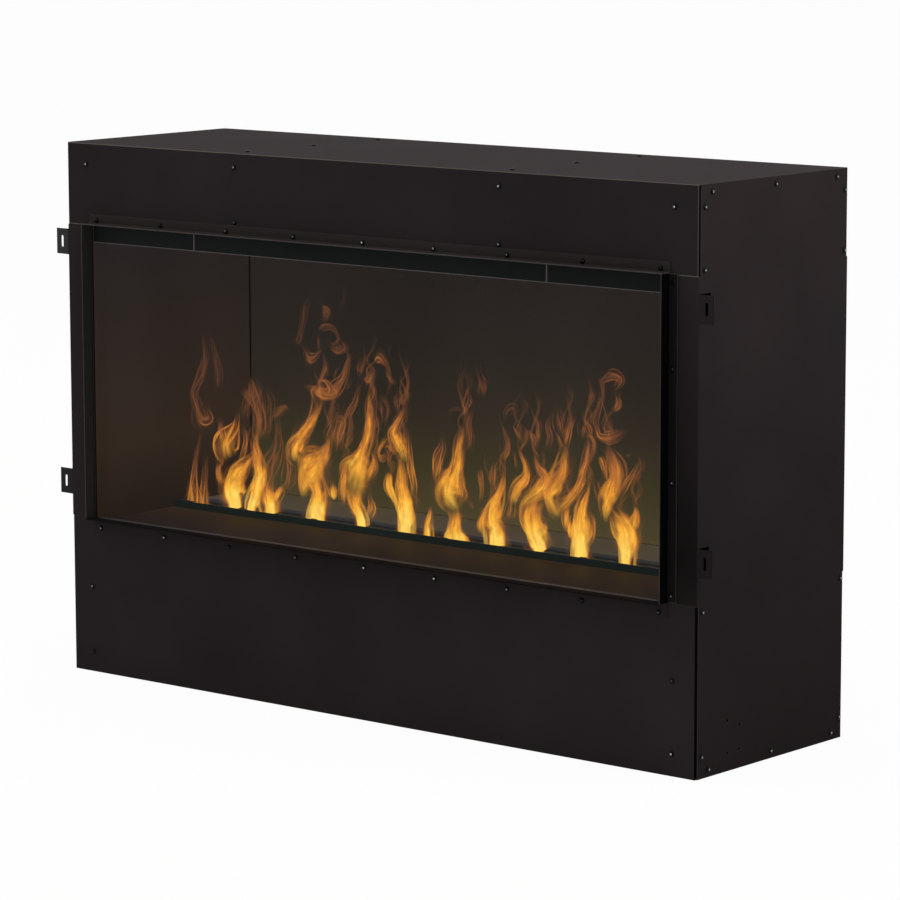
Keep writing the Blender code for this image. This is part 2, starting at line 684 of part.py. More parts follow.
def make_valance():
    end = LINER_X - GAP
    seam = VALANCE_SEAM / 2
    spans = {
        "valance_left": (-end, -VALANCE_SEAM_X - seam),
        "valance_center": (seam - VALANCE_SEAM_X, VALANCE_SEAM_X - seam),
        "valance_right": (VALANCE_SEAM_X + seam, end),
    }
    y = FRONT + BEHIND_PANEL
    for name, (low, high) in spans.items():
        bm = bmesh.new()
        block(bm, (low, high), (y, y + SHEET), (VALANCE_LOW, VALANCE_TOP))
        made = place(name, bm, GLOSS, CASING)
        drive(made, FORWARD, [(x, FRONT - TRIM_FACE, z) for x, z in TOP_ROW if low < x < high])


# Inner walls, braces and shelf

def inner_wall(name, hand, face, edge, low, high, finish):
    """A wall from front to back with flanges turned out behind the front and rear panels."""
    near, far = FRONT + BEHIND_PANEL, BACK - BEHIND_PANEL
    path = [(edge, far), (face, far), (face, near), (edge, near)]
    bm = bmesh.new()
    prism(bm, mirrored(folded(path), hand), "Z", low, high)
    return place(name, bm, finish, CASING)


def hat(name, ys, top, drops, half, finish, carrier):
    """A sheet across the opening, with its front edge, and its rear edge if that has a drop, turned down."""
    near, far = ys
    path = [(far, top), (near, top), (near, top - drops[0])]
    if drops[1]:
        path.insert(0, (far, top - drops[1]))
    bm = bmesh.new()
    prism(bm, folded(path), "X", -half, half)
    return place(name, bm, finish, carrier)


def make_inner_walls():
    base, roof = BEHIND_PANEL, BOX_HEIGHT - BEHIND_PANEL
    for name, hand in (("left_liner", -1), ("right_liner", 1)):
        made = inner_wall(name, hand, LINER_X, LINER_X + LINER_FLANGE, base, roof, LINER)
        x = hand * LINER_SCREW_X
        cover = [TRIM_FACE if z in STILE_ROWS else 0 for z in COLUMN_HEIGHTS]
        spots = [(x, FRONT - rise, z) for rise, z in zip(cover, COLUMN_HEIGHTS)]
        drive(made, FORWARD, spots, "front_screws")
        spots = [(x, BACK + rise, z) for rise, z in zip(cover, COLUMN_HEIGHTS)]
        drive(made, BACKWARD, spots, "rear_screws")
    half_flange = BRACE_FLANGE / 2
    for name, hand in (("left_brace", -1), ("right_brace", 1)):
        low = CEILING_TOP + GAP
        face, edge = BRACE_X - half_flange, BRACE_X + half_flange
        made = inner_wall(name, hand, face, edge, low, roof, ZINC)
        bm = bmesh.new()
        xs = sorted((hand * (face + SHEET / 2), hand * edge))
        ys = (FRONT + RETURN_DEPTH, BACK - RETURN_DEPTH)
        block(bm, xs, ys, (roof - SHEET, roof))
        join(made, bm, "top_flange")
        x = hand * BRACE_X
        drive(made, FORWARD, [(x, FRONT, z) for z in BRACE_SCREW_HEIGHTS], "front_screws")
        drive(made, BACKWARD, [(x, BACK, z) for z in BRACE_SCREW_HEIGHTS], "rear_screws")
        drive(made, (0, 0, 1), [(x, y, BOX_HEIGHT) for y in DEPTH_STEPS], "top_screws")
    across = LINER_X - GAP
    near = FRONT + PANE_DEPTH + PANE_THICK + 2 * GAP
    ceiling = (near, BACK - BEHIND_PANEL)
    hat("ceiling_liner", ceiling, CEILING_TOP, (CEILING_GUIDE_DROP, 0), across, LINER, CASING)
    shelf = (FRONT + BEHIND_PANEL, FRONT + CASSETTE_FRONT - SLIDE_GAP)
    drops = (SHELF_FRONT_DROP, SHELF_REAR_DROP)
    made = hat("front_shelf", shelf, SHELF_TOP, drops, across, LINER, CASING)
    drive(made, FORWARD, [(x, FRONT - TRIM_FACE, z) for x, z in BOTTOM_ROW])


def make_pane():
    """The pane stands in a channel on the shelf and lifts up behind the valance."""
    near = FRONT + PANE_DEPTH
    low = SHELF_TOP + GAP + CHANNEL_WALL + GAP
    bm = bmesh.new()
    block(bm, (-PANE_HALF, PANE_HALF), (near, near + PANE_THICK), (low, PANE_TOP))
    place("glass_pane", bm, GLASS, PANE)
    outer = (near - GAP - CHANNEL_WALL, near + PANE_THICK + GAP + CHANNEL_WALL)
    base, rim = SHELF_TOP + GAP, SHELF_TOP + GAP + CHANNEL_HEIGHT
    path = [(outer[0], rim), (outer[0], base), (outer[1], base), (outer[1], rim)]
    bm = bmesh.new()
    prism(bm, folded(path, CHANNEL_WALL, GAP), "X", -PANE_HALF, PANE_HALF)
    place("glass_channel", bm, PLASTIC, CASING)


# Supply entry

def make_supply_entry():
    web = -(SIDE - SHEET)
    y, z = FRONT + ENTRY_DEPTH, ENTRY_HEIGHT
    deep, wide, tall = TERMINAL_BOX_SIZE
    xs = (web + GAP, web + GAP + deep)
    bm = bmesh.new()
    block(bm, xs, (y - wide / 2, y + wide / 2), (z - tall / 2, z + tall / 2))
    made = place("terminal_box", bm, ZINC, CASING)
    wall = TERMINAL_BOX_WALL
    bm = bmesh.new()
    inner = (y - wide / 2 + wall, y + wide / 2 - wall)
    block(bm, (xs[0] - OVERRUN, xs[1] - wall), inner, (z - tall / 2 + wall, z + tall / 2 - wall))
    cut(made, bm, "inside")
    deep, wide, tall = TERMINAL_BLOCK_SIZE
    bm = bmesh.new()
    back = xs[1] - wall - GAP
    block(bm, (back - deep, back), (y - wide / 2, y + wide / 2), (z - tall / 2, z + tall / 2))
    place("terminal_block", bm, GREY, CASING)
    face = -SIDE - GAP
    profile = [
        (GLAND_BORE, -GLAND_OUT),
        (GLAND_MOUTH, -GLAND_OUT),
        (GLAND_CAP, -GLAND_NUT_THICK * 2),
        (GLAND_CAP, -GLAND_NUT_THICK),
        (GLAND_NUT, -GLAND_NUT_THICK),
        (GLAND_NUT, 0),
        (GLAND_THREAD, 0),
        (GLAND_THREAD, GLAND_IN),
        (GLAND_BORE, GLAND_IN),
    ]
    bm = bmesh.new()
    turned(bm, profile, "X", (face, y, z), SMALL_SIDES, ring=True)
    smooth(place("cable_gland", bm, PLASTIC, CASING, (face, y, z)))


# Cassette body

def relieve(made, top):
    """Stops the drops of a cover short of the housing's end walls, which stand under the cover's ends."""
    reach = SHEET + BEND + 2 * GAP
    ys = (FRONT + OUTLET_BACK - reach, FRONT + OUTLET_BACK + reach)
    bm = bmesh.new()
    for hand in HANDS:
        xs = sorted((hand * (CASSETTE_HALF - SHEET - GAP), hand * (COVER_HALF + OVERRUN)))
        block(bm, xs, ys, (OUTLET_TOP - OUTLET_DROP - OVERRUN, top - SHEET / 2))
    cut(made, bm, "end_relief")


def make_cassette_body():
    wall_back = FRONT + CASSETTE_BACK
    near = FRONT + WALL_FRONT
    half = CASSETTE_HALF
    bm = bmesh.new()
    block(bm, (-half, half), (near, wall_back), (CASSETTE_FLOOR, UNDER_OUTLET))
    housing = place("cassette_housing", bm, PLASTIC, CASSETTE)
    bm = bmesh.new()
    inner = (SHEET - half, half - SHEET)
    block(bm, inner, (near + SHEET, wall_back - SHEET), (CASSETTE_FLOOR + SHEET, UNDER_OUTLET + OVERRUN))
    cut(housing, bm, "inside")
    bm = bmesh.new()
    across = (-half - OVERRUN, half + OVERRUN)
    block(bm, across, (near + SHEET + GAP, wall_back + OVERRUN), (UNDER_DECK, UNDER_OUTLET + OVERRUN))
    cut(housing, bm, "rim")
    fans = [(hand * FAN_X, FAN_HEIGHT) for hand in HANDS]
    drill(housing, "Y", fans, near, "air_inlets", FAN_BORE, ROUND_SIDES)
    drill(housing, "Y", [(VALVE_X, VALVE_HEIGHT)], near, "water_inlet", SPIGOT_HOLE, SMALL_SIDES)
    corners = [(x, y) for x in (FOOT_IN - half, half - FOOT_IN) for y in (near + FOOT_IN, wall_back - FOOT_IN)]
    for k, corner in enumerate(corners):
        bm = bmesh.new()
        prism(bm, circle(corner, FOOT_RADIUS, SMALL_SIDES), "Z", SHEET + GAP, CASSETTE_FLOOR - GAP)
        smooth(place(f"cassette_foot_{k + 1}", bm, RUBBER, CASSETTE, (*corner, SHEET + GAP)))
    ys = (FRONT + CASSETTE_FRONT, FRONT + OUTLET_BACK)
    outlet = hat("mist_outlet", ys, OUTLET_TOP, (OUTLET_DROP, OUTLET_DROP), COVER_HALF, TRIM, CASSETTE)
    bm = bmesh.new()
    slot_y = FRONT + MIST_SLOT_DEPTH
    low = MIST_SLOT_END - half
    room = -2 * low - (MIST_SLOT_COUNT - 1) * MIST_SLOT_BRIDGE
    length = room / MIST_SLOT_COUNT
    for k in range(MIST_SLOT_COUNT):
        x = low + k * (length + MIST_SLOT_BRIDGE)
        block(bm, (x, x + length), (slot_y, slot_y + MIST_SLOT_WIDTH), (UNDER_DECK, OUTLET_TOP + OVERRUN))
    cut(outlet, bm, "mist_slots")
    relieve(outlet, OUTLET_TOP)
    ys = (FRONT + OUTLET_BACK + GAP, wall_back)
    deck = hat("rear_deck", ys, DECK_TOP, (DECK_DROP, 0), COVER_HALF, LINER, CASSETTE)
    relieve(deck, DECK_TOP)


def tray(name, xs, ys, zs, wall, finish):
    """An open-topped tray."""
    bm = bmesh.new()
    block(bm, xs, ys, zs)
    made = place(name, bm, finish, CASSETTE)
    bm = bmesh.new()
    block(bm, (xs[0] + wall, xs[1] - wall), (ys[0] + wall, ys[1] - wall), (zs[0] + wall, zs[1] + OVERRUN))
    cut(made, bm, "inside")


def make_sump():
    xs = (-SUMP_HALF, SUMP_HALF)
    ys = (FRONT + SUMP_FRONT, FRONT + SUMP_BACK)
    tray("water_sump", xs, ys, (INNER_FLOOR, SUMP_TOP), SUMP_WALL, PLASTIC)
    bm = bmesh.new()
    block(bm, xs, ys, (SUMP_TOP + GAP, LID_TOP))
    lid = place("sump_lid", bm, PLASTIC, CASSETTE)
    foot = (FRONT + DUCT_FRONT, FRONT + DUCT_FRONT + DUCT_FOOT_DEPTH)
    half = DUCT_FOOT_HALF - DUCT_SEAT
    through = (SUMP_TOP - OVERRUN, LID_TOP + OVERRUN)
    bm = bmesh.new()
    block(bm, (-half, half), (foot[0] + DUCT_SEAT, foot[1] - DUCT_SEAT), through)
    cut(lid, bm, "mist_opening")
    middle = (foot[0] + foot[1]) / 2
    base = INNER_FLOOR + SUMP_WALL + GAP
    for k in range(TRANSDUCER_COUNT):
        x = (k - (TRANSDUCER_COUNT - 1) / 2) * TRANSDUCER_PITCH
        profile = [
            (0, TRANSDUCER_HEIGHT - DISC_RECESS),
            (DISC_RADIUS, TRANSDUCER_HEIGHT - DISC_RECESS),
            (DISC_RADIUS, TRANSDUCER_HEIGHT),
            (TRANSDUCER_RADIUS, TRANSDUCER_HEIGHT),
            (TRANSDUCER_RADIUS, 0),
        ]
        bm = bmesh.new()
        turned(bm, profile, "Z", (x, middle, base), SMALL_SIDES)
        smooth(place(f"transducer_{k + 1}", bm, GREY, CASSETTE, (x, middle, base)))


def make_duct():
    """The chimney that carries the vapour from the sump up to the slot, wider at its top."""
    slot = (FRONT + MIST_SLOT_DEPTH - DUCT_WALL - GAP, FRONT + MIST_SLOT_DEPTH + MIST_SLOT_WIDTH + DUCT_WALL)
    foot = (FRONT + DUCT_FRONT, FRONT + DUCT_FRONT + DUCT_FOOT_DEPTH)
    top_half = CASSETTE_HALF - MIST_SLOT_END + DUCT_WALL
    levels = ((DUCT_FOOT_HALF, foot, LID_TOP + GAP), (top_half, slot, DUCT_TOP))
    bm = bmesh.new()
    loops = []
    for wall in (0, DUCT_WALL):
        for half, (near, far), z in levels if not wall else levels[::-1]:
            x, y0, y1 = half - wall, near + wall, far - wall
            corners = ((-x, y0, z), (x, y0, z), (x, y1, z), (-x, y1, z))
            loops.append([bm.verts.new(corner) for corner in corners])
    for k, loop in enumerate(loops):
        before = loops[k - 1]
        for side in range(4):
            bm.faces.new((before[side - 1], before[side], loop[side], loop[side - 1]))
    place("mist_duct", bm, PLASTIC, CASSETTE)


def make_lights():
    """A bar of lights under the outlet, behind the slot, with its lens towards the vapour."""
    half = CASSETTE_HALF - MIST_SLOT_END
    lens_near = FRONT + MIST_SLOT_DEPTH + MIST_SLOT_WIDTH + DUCT_WALL
    near = lens_near + LENS_DEPTH + GAP
    bm = bmesh.new()
    block(bm, (-half, half), (near, near + LIGHT_BAR_DEPTH), (UNDER_OUTLET - LIGHT_BAR_HEIGHT, UNDER_OUTLET))
    place("led_light_bar", bm, ZINC, CASSETTE)
    middle = UNDER_OUTLET - LIGHT_BAR_HEIGHT / 2
    reach = LENS_HEIGHT / 2
    outline = [(near - GAP, middle + reach), (near - GAP, middle - reach)]
    steps = SMALL_SIDES // 2
    for k in range(1, steps):
        angle = math.pi * k / steps
        outline.append((near - GAP - LENS_DEPTH * math.sin(angle), middle - reach * math.cos(angle)))
    bm = bmesh.new()
    prism(bm, outline, "X", LENS_END - half, half - LENS_END)
    smooth(place("led_lens", bm, LENS, CASSETTE))


# Fans

def make_fan(side, hand):
    x, z = hand * FAN_X, FAN_HEIGHT
    near = FRONT + WALL_FRONT + SHEET + GAP
    far = near + FAN_DEPTH
    half = FAN_SIZE / 2
    bm = bmesh.new()
    block(bm, (x - half, x + half), (near, far), (z - half, z + half))
    housing = place(f"{side}_fan_housing", bm, PLASTIC, CASSETTE, (x, near, z))
    bm = bmesh.new()
    prism(bm, circle((x, z), FAN_BORE, ROUND_SIDES), "Y", near - OVERRUN, far + OVERRUN)
    cut(housing, bm, "bore")
    reach, width = half - FAN_BAR_INSET, FAN_BAR_WIDTH / 2
    bars = (far - FAN_BAR_INSET - FAN_BAR_DEPTH, far - FAN_BAR_INSET)
    bm = bmesh.new()
    block(bm, (x - reach, x + reach), bars, (z - width, z + width))
    join(housing, bm, "level_bar")
    bm = bmesh.new()
    block(bm, (x - width, x + width), bars, (z - reach, z + reach))
    join(housing, bm, "upright_bar")
    boss = (far - 2 * FAN_BAR_INSET - FAN_BOSS_DEPTH, far - 2 * FAN_BAR_INSET)
    bm = bmesh.new()
    prism(bm, circle((x, z), FAN_BOSS_RADIUS, SMALL_SIDES), "Y", *boss)
    join(housing, bm, "boss")
    hub_back = boss[0] - GAP
    bm = bmesh.new()
    prism(bm, circle((x, z), HUB_RADIUS, SMALL_SIDES), "Y", hub_back - HUB_DEPTH, hub_back)
    axis = (x, hub_back - HUB_DEPTH / 2, z)
    impeller = place(f"{side}_fan_impeller", bm, GREY, CASSETTE, axis)
    smooth(impeller)
    bm = bmesh.new()
    root = HUB_RADIUS / 2
    for k in range(BLADE_COUNT):
        one = bmesh.new()
        chord, thick = BLADE_CHORD / 2, BLADE_THICK / 2
        block(one, (root, BLADE_REACH), (-chord, chord), (-thick, thick))
        pitch = Matrix.Rotation(BLADE_PITCH, 4, "X")
        turn = Matrix.Rotation(2 * math.pi * k / BLADE_COUNT, 4, "Y")
        one.transform(Matrix.Translation(axis) @ turn @ pitch)
        add_copy(bm, one, "blade")
    join(impeller, bm, "blades")


# Float and inlet valve

def make_float():
    x, y = 0, FRONT + FLOAT_DEPTH
    low = INNER_FLOOR + SUMP_WALL + STEM_CLEARANCE
    high = SUMP_TOP
    stop = low + STEM_COLLAR + GAP + FLOAT_HEIGHT + FLOAT_TRAVEL + GAP
    profile = [
        (STEM_COLLAR_RADIUS, high),
        (STEM_COLLAR_RADIUS, high - STEM_COLLAR),
        (STEM_RADIUS, high - STEM_COLLAR),
        (STEM_RADIUS, stop + STEM_COLLAR),
        (STEM_COLLAR_RADIUS, stop + STEM_COLLAR),
        (STEM_COLLAR_RADIUS, stop),
        (STEM_RADIUS, stop),
        (STEM_RADIUS, low + STEM_COLLAR),
        (STEM_COLLAR_RADIUS, low + STEM_COLLAR),
        (STEM_COLLAR_RADIUS, low),
    ]
    bm = bmesh.new()
    turned(bm, profile, "Z", (x, y, 0), SMALL_SIDES)
    smooth(place("float_stem", bm, GREY, CASSETTE, (x, y, low)))
    base = low + STEM_COLLAR + GAP
    bore = STEM_RADIUS + FLOAT_BORE_GAP
    profile = [(bore, FLOAT_HEIGHT), (FLOAT_RADIUS, FLOAT_HEIGHT), (FLOAT_RADIUS, 0), (bore, 0)]
    bm = bmesh.new()
    turned(bm, profile, "Z", (x, y, base), SMALL_SIDES, ring=True)
    smooth(place("float_ring", bm, PLASTIC, CASSETTE, (x, y, base)))


def make_valve():
    wide, deep, tall = VALVE_SIZE
    x, z = VALVE_X, VALVE_HEIGHT
    near = FRONT + VALVE_DEPTH
    base = INNER_FLOOR
    bm = bmesh.new()
    block(bm, (x - wide / 2, x + wide / 2), (near, near + deep), (base, base + tall))
    valve = place("inlet_valve", bm, BRASS, CASSETTE, (x, near, z))
    bm = bmesh.new()
    coil = (base + tall - OVERRUN, base + tall + COIL_HEIGHT)
    prism(bm, circle((x, near + deep / 2), COIL_RADIUS, SMALL_SIDES), "Z", *coil)
    join(valve, bm, "coil")
    mouth = FRONT + WALL_FRONT + GAP
    bm = bmesh.new()
    prism(bm, circle((x, z), SPIGOT_RADIUS, SMALL_SIDES), "Y", mouth, near + OVERRUN)
    join(valve, bm, "spigot")
    bm = bmesh.new()
    prism(bm, circle((x, z), SPIGOT_BORE, HOLE_SIDES), "Y", mouth - OVERRUN, near)
    cut(valve, bm, "bore")


# Control box

def make_controls():
    xs = (CONTROL_LOW_X, CONTROL_HIGH_X)
    ys = (FRONT + CONTROL_FRONT, FRONT + CONTROL_BACK)
    tray("control_box", xs, ys, (INNER_FLOOR, CONTROL_TOP), CONTROL_WALL, PLASTIC)
    bm = bmesh.new()
    block(bm, xs, ys, (CONTROL_TOP + GAP, PANEL_TOP))
    panel = place("control_panel", bm, PLASTIC, CASSETTE)
    middle = (ys[0] + ys[1]) / 2
    half_hole, half_width = ROCKER_HOLE / 2, ROCKER_WIDTH / 2 + GAP
    through = (CONTROL_TOP - OVERRUN, PANEL_TOP + OVERRUN)
    bm = bmesh.new()
    hole_y = (middle - half_hole, middle + half_hole)
    block(bm, (SWITCH_X - half_width, SWITCH_X + half_width), hole_y, through)
    for x in BUTTON_XS:
        prism(bm, circle((x, middle), BUTTON_RADIUS + GAP, SMALL_SIDES), "Z", *through)
    cut(panel, bm, "holes")

    floor = INNER_FLOOR + CONTROL_WALL + GAP
    wide, deep, tall = SUPPLY_SIZE
    x0, y0 = xs[0] + SUPPLY_INSET, ys[0] + SUPPLY_INSET
    bm = bmesh.new()
    block(bm, (x0, x0 + wide), (y0, y0 + deep), (floor, floor + tall))
    place("power_supply", bm, ZINC, CASSETTE)
    back = ys[1] - BOARD_BACK_GAP
    across = (xs[0] + SUPPLY_INSET, xs[1] - SUPPLY_INSET)
    bm = bmesh.new()
    height = CONTROL_TOP - BOARD_TOP_GAP - floor
    block(bm, across, (back - BOARD_THICK, back), (floor, floor + height))
    board = place("control_board", bm, BOARD, CASSETTE)
    wide, deep, tall = CHIP_SIZE
    bm = bmesh.new()
    for k in (-1, 0, 1):
        x = (xs[0] + xs[1]) / 2 + 2 * k * wide
        z = floor + height / 2 + k * tall
        block(bm, (x, x + wide), (back - BOARD_THICK - deep, back - BOARD_THICK / 2), (z, z + tall))
    join(board, bm, "chips")

    axis = (SWITCH_X, middle, PANEL_TOP + GAP)
    reach = ROCKER_LENGTH / 2
    outline = [
        (-reach, ROCKER_RISE),
        (0, ROCKER_DIP),
        (reach, ROCKER_RISE),
        (reach, -ROCKER_KEEL),
        (-reach, -ROCKER_KEEL),
    ]
    bm = bmesh.new()
    prism(bm, outline, "X", GAP - half_width, half_width - GAP)
    bm.transform(Matrix.Translation(axis) @ Matrix.Rotation(-ROCKER_THROW, 4, "X"))
    place("power_switch", bm, PLASTIC, CASSETTE, axis)
    skirt_top = CONTROL_TOP
    for name, x in zip(("mode_button", "flame_button"), BUTTON_XS):
        profile = [
            (BUTTON_RADIUS, PANEL_TOP + BUTTON_RISE),
            (BUTTON_RADIUS, skirt_top),
            (BUTTON_SKIRT_RADIUS, skirt_top),
            (BUTTON_SKIRT_RADIUS, skirt_top - BUTTON_SKIRT),
        ]
        bm = bmesh.new()
        turned(bm, profile, "Z", (x, middle, 0), SMALL_SIDES)
        smooth(place(name, bm, GREY, CASSETTE, (x, middle, PANEL_TOP)))


make_casing()
make_trim()
make_valance()
make_inner_walls()
make_pane()
make_supply_entry()
make_cassette_body()
make_sump()
make_duct()
make_lights()
make_fan("left", -1)
make_fan("right", 1)
make_float()
make_valve()
make_controls()
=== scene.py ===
"""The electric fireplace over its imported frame: sheet metal, screws, glass, flames, light and camera."""

import math

import bmesh
import bpy
from mathutils import Matrix, Vector


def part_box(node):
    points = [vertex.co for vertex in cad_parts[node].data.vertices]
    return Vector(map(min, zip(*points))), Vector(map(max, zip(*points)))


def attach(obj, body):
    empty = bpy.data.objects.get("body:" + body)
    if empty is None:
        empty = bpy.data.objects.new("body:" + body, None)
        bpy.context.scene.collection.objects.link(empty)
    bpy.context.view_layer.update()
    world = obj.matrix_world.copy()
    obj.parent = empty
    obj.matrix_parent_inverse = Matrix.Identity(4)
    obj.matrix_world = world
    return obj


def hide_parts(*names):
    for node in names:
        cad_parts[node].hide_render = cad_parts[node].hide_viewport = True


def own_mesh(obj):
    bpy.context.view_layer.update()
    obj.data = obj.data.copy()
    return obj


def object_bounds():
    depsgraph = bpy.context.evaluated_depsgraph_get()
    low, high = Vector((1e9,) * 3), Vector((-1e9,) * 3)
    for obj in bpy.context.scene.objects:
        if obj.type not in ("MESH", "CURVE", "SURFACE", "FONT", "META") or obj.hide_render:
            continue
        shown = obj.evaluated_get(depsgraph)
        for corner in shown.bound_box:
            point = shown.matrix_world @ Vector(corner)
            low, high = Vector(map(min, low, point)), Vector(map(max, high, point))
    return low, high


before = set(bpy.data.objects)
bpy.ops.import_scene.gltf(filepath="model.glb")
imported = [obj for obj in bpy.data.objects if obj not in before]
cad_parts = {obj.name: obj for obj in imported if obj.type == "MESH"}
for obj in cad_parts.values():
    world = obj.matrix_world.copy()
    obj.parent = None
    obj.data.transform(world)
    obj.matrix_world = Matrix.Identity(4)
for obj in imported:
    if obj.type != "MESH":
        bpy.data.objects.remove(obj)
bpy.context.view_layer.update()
scene = bpy.context.scene

# Camera: its place in metres, its yaw, pitch and roll in degrees, and the picture's width in pixels
CAMERA_PLACE = (3.5646, -4.2561, 1.2125)
CAMERA_TURN = (39.789, -8.788, -0.130)
CAMERA_REACH = 200
LENS_MM = 163.0
SENSOR_MM = 36.0
PICTURE = 900

# Sheet metal, in metres
GAP = 0.0003
SHEET = 0.0012
BEND = 0.0008
OVERRUN = 0.0010
JOINT_WIDTH = 0.0012
RETURN_DEPTH = 0.020
PLATE_FLANGE = 0.018
STILE_WIDTH = 0.0467
TRIM_REACH = 0.019
TRIM_SIDE_FLANGE = 0.0142
LINER_FLANGE = 0.0215
BRACE_FLANGE = 0.020
TAB_REACH = 0.0225
TAB_HEIGHT = 0.0365
TAB_CENTER_OUT = 0.0116
SLOT_WIDTH = 0.0045
SLOT_HEIGHT = 0.0168
LEFT_TAB_INSETS = (0.0489, 0.0260)
RIGHT_TAB_INSETS = (0.0570, 0.0400)
SHELF_FRONT_DROP = 0.016
SHELF_REAR_DROP = 0.012
GUIDE_DROP = 0.0327
COVER_DROP = 0.012
DECK_DROP = 0.010
SLOT_SETBACK = 0.006
MIST_SLOT_WIDTH = 0.018
MIST_SLOT_END = 0.024
MIST_SLOT_BRIDGE = 0.010
MIST_SLOT_COUNT = 4
PILOT_RADIUS = 0.0022
PILOT_HOLES = ((0.069, 0.0668), (0.096, 0.0573), (0.069, 0.0241), (0.095, 0.0251))
ENTRY_RADIUS = 0.0083
ENTRY_DEPTH = 0.0825
ENTRY_HEIGHT = 0.0485

# Screws
HEAD_RADIUS = 0.0040
HEAD_RISE = 0.0018
HEAD_SIDES = 20
HEAD_PROFILE = ((0.35, 0.985), (0.62, 0.88), (0.84, 0.62), (0.96, 0.30), (1.0, 0.10), (1.0, 0.0))
HEAD_TURN = 2.4
HEAD_UNDERSIDE = -0.5
RECESS_LENGTH = 0.0032
RECESS_WIDTH = 0.0012
RECESS_DEPTH = 0.0009
RECESS_SHARE = 0.85
LINER_SCREW_IN = 0.0102
LINER_SCREW_END = 0.0295
LINER_SCREW_UNDER_SILL = 0.1001
STILE_SCREW_INSETS = (0.0090, 0.0113)
STILE_SCREW_SHARES = (0.3667, 0.7120)
TRIM_SCREW_UP = 0.0059
TRIM_SCREW_LOW = 0.0143
TRIM_SCREW_END = 0.013
TRIM_COUNT_EACH_WAY = 4
PLATE_SCREW_DROP = 0.0100
PLATE_SCREW_END = 0.0270
BRACE_X_SHARE = 0.42
BRACE_SCREW_INSETS = (0.0210, 0.0193)
SIDE_SCREW_FRONT = 0.0117
SIDE_SCREW_REAR = 0.0085
PANEL_END_SCREW = 0.0285
PANEL_SEAM_SCREW = 0.0080

# How edges and bends are drawn
BEND_STEPS = 6
HOLE_SIDES = 24
EDGE_EASE = 0.00025
RIM_EASE = 0.0005
HEM_EASE = 0.0010
EASE_STEPS = 2
SHARP_ANGLE = math.radians(32)
FLAT_ANGLE = math.radians(1)

# How far a face's outward way has to point along an axis, to tell what the face is
SQUARE_ON = 0.9
BENT_AWAY = 0.25
UPRIGHT = 0.1

# Places read from the frame
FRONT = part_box("lower_front_panel")[0][1]
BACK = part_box("right_side_panel")[1][1]
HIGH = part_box("right_side_panel")[1][2]
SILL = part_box("lower_front_panel")[1][2]
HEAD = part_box("upper_front_panel")[0][2]
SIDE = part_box("top_panel")[1][0] - GAP - HEAD_RISE
TRIM_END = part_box("trim_top")[1][0]
OPENING = TRIM_END - SHEET
OPENING_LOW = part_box("trim_bottom")[1][2]
OPENING_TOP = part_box("trim_top")[0][2]
TRIM_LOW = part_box("trim_bottom")[0][2]
TRIM_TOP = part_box("trim_top")[1][2]
SHELF_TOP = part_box("front_shelf")[1][2]
SHELF_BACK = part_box("front_shelf")[1][1]
COVER_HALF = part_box("mist_outlet")[1][0]
COVER_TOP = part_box("mist_outlet")[1][2]
COVER_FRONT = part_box("mist_outlet")[0][1]
COVER_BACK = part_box("mist_outlet")[1][1]
DECK_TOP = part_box("rear_deck")[1][2]
DECK_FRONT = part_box("rear_deck")[0][1]
DECK_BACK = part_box("rear_deck")[1][1]
HOUSING_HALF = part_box("cassette_housing")[1][0]
CEILING_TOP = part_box("ceiling_liner")[1][2]
CEILING_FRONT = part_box("ceiling_liner")[0][1]
LINER_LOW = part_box("left_liner")[0][2]
LINER_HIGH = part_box("left_liner")[1][2]

# Places worked out
INSIDE = SIDE - SHEET - GAP
STILE_EDGE = SIDE - STILE_WIDTH
BEHIND = SHEET + GAP
TRIM_SEAT = FRONT - GAP
TRIM_FACE = FRONT - BEHIND
LINER_X = COVER_HALF + OVERRUN
ACROSS = LINER_X - GAP
LINER_SCREW_X = LINER_X + LINER_SCREW_IN
TRIM_PITCH = (OPENING - TRIM_SCREW_END) / TRIM_COUNT_EACH_WAY
UPPER_ROW_Z = OPENING_TOP + TRIM_SCREW_UP
LOWER_ROW_Z = OPENING_LOW - TRIM_SCREW_LOW
BRACE_X = SIDE * BRACE_X_SHARE
MIDDLE = (FRONT + BACK) / 2
PLATE_STEP = (BACK - FRONT) / 2 - PLATE_SCREW_END
DEPTHS = [MIDDLE + k * PLATE_STEP for k in (-1, 0, 1)]
HANDS = (-1, 1)
FORWARD = (0, -1, 0)
BACKWARD = (0, 1, 0)
UPWARD = (0, 0, 1)
MIST_SLOT_FRONT = COVER_FRONT + SLOT_SETBACK

# Colours of paint, as linear red, green and blue
POWDER_TONE = (0.0225, 0.0180, 0.0192)
WALL_TONE = (0.0070, 0.0060, 0.0058)
POWDER_ROUGHNESS = 0.65
POWDER_SHINE = 0.010

# The range that a noise mostly keeps to
NOISE_RANGE = (0.3, 0.7)

# Patterns in baked paint
DRIFT_SCALE = 5.0
DRIFT = 0.18
GRAIN_SCALE = 900.0
GRAIN_DEPTH = 0.0002
DUST_SCALE = 55.0
DUST_EDGE = (0.018, 0.034)

# Light and shade painted on the sheets: a panel that darkens downward, a stile darker by shares of its
# height, lighter tabs, darker corners
WEB_FALL = 0.34
STILE_DIP = (
    (0.00, 0.38),
    (0.15, 0.60),
    (0.31, 0.44),
    (0.46, 0.26),
    (0.60, 0.12),
    (0.94, 0.00),
)
TAB_LIGHT_TONES = (0.024, 0.044)
CORNER_SHADE = 0.0006
CORNER_DARK = 0.25

# How deep under a face with painted flame light that light fades out
SKIN = (SHEET * 0.3, SHEET * 0.6)
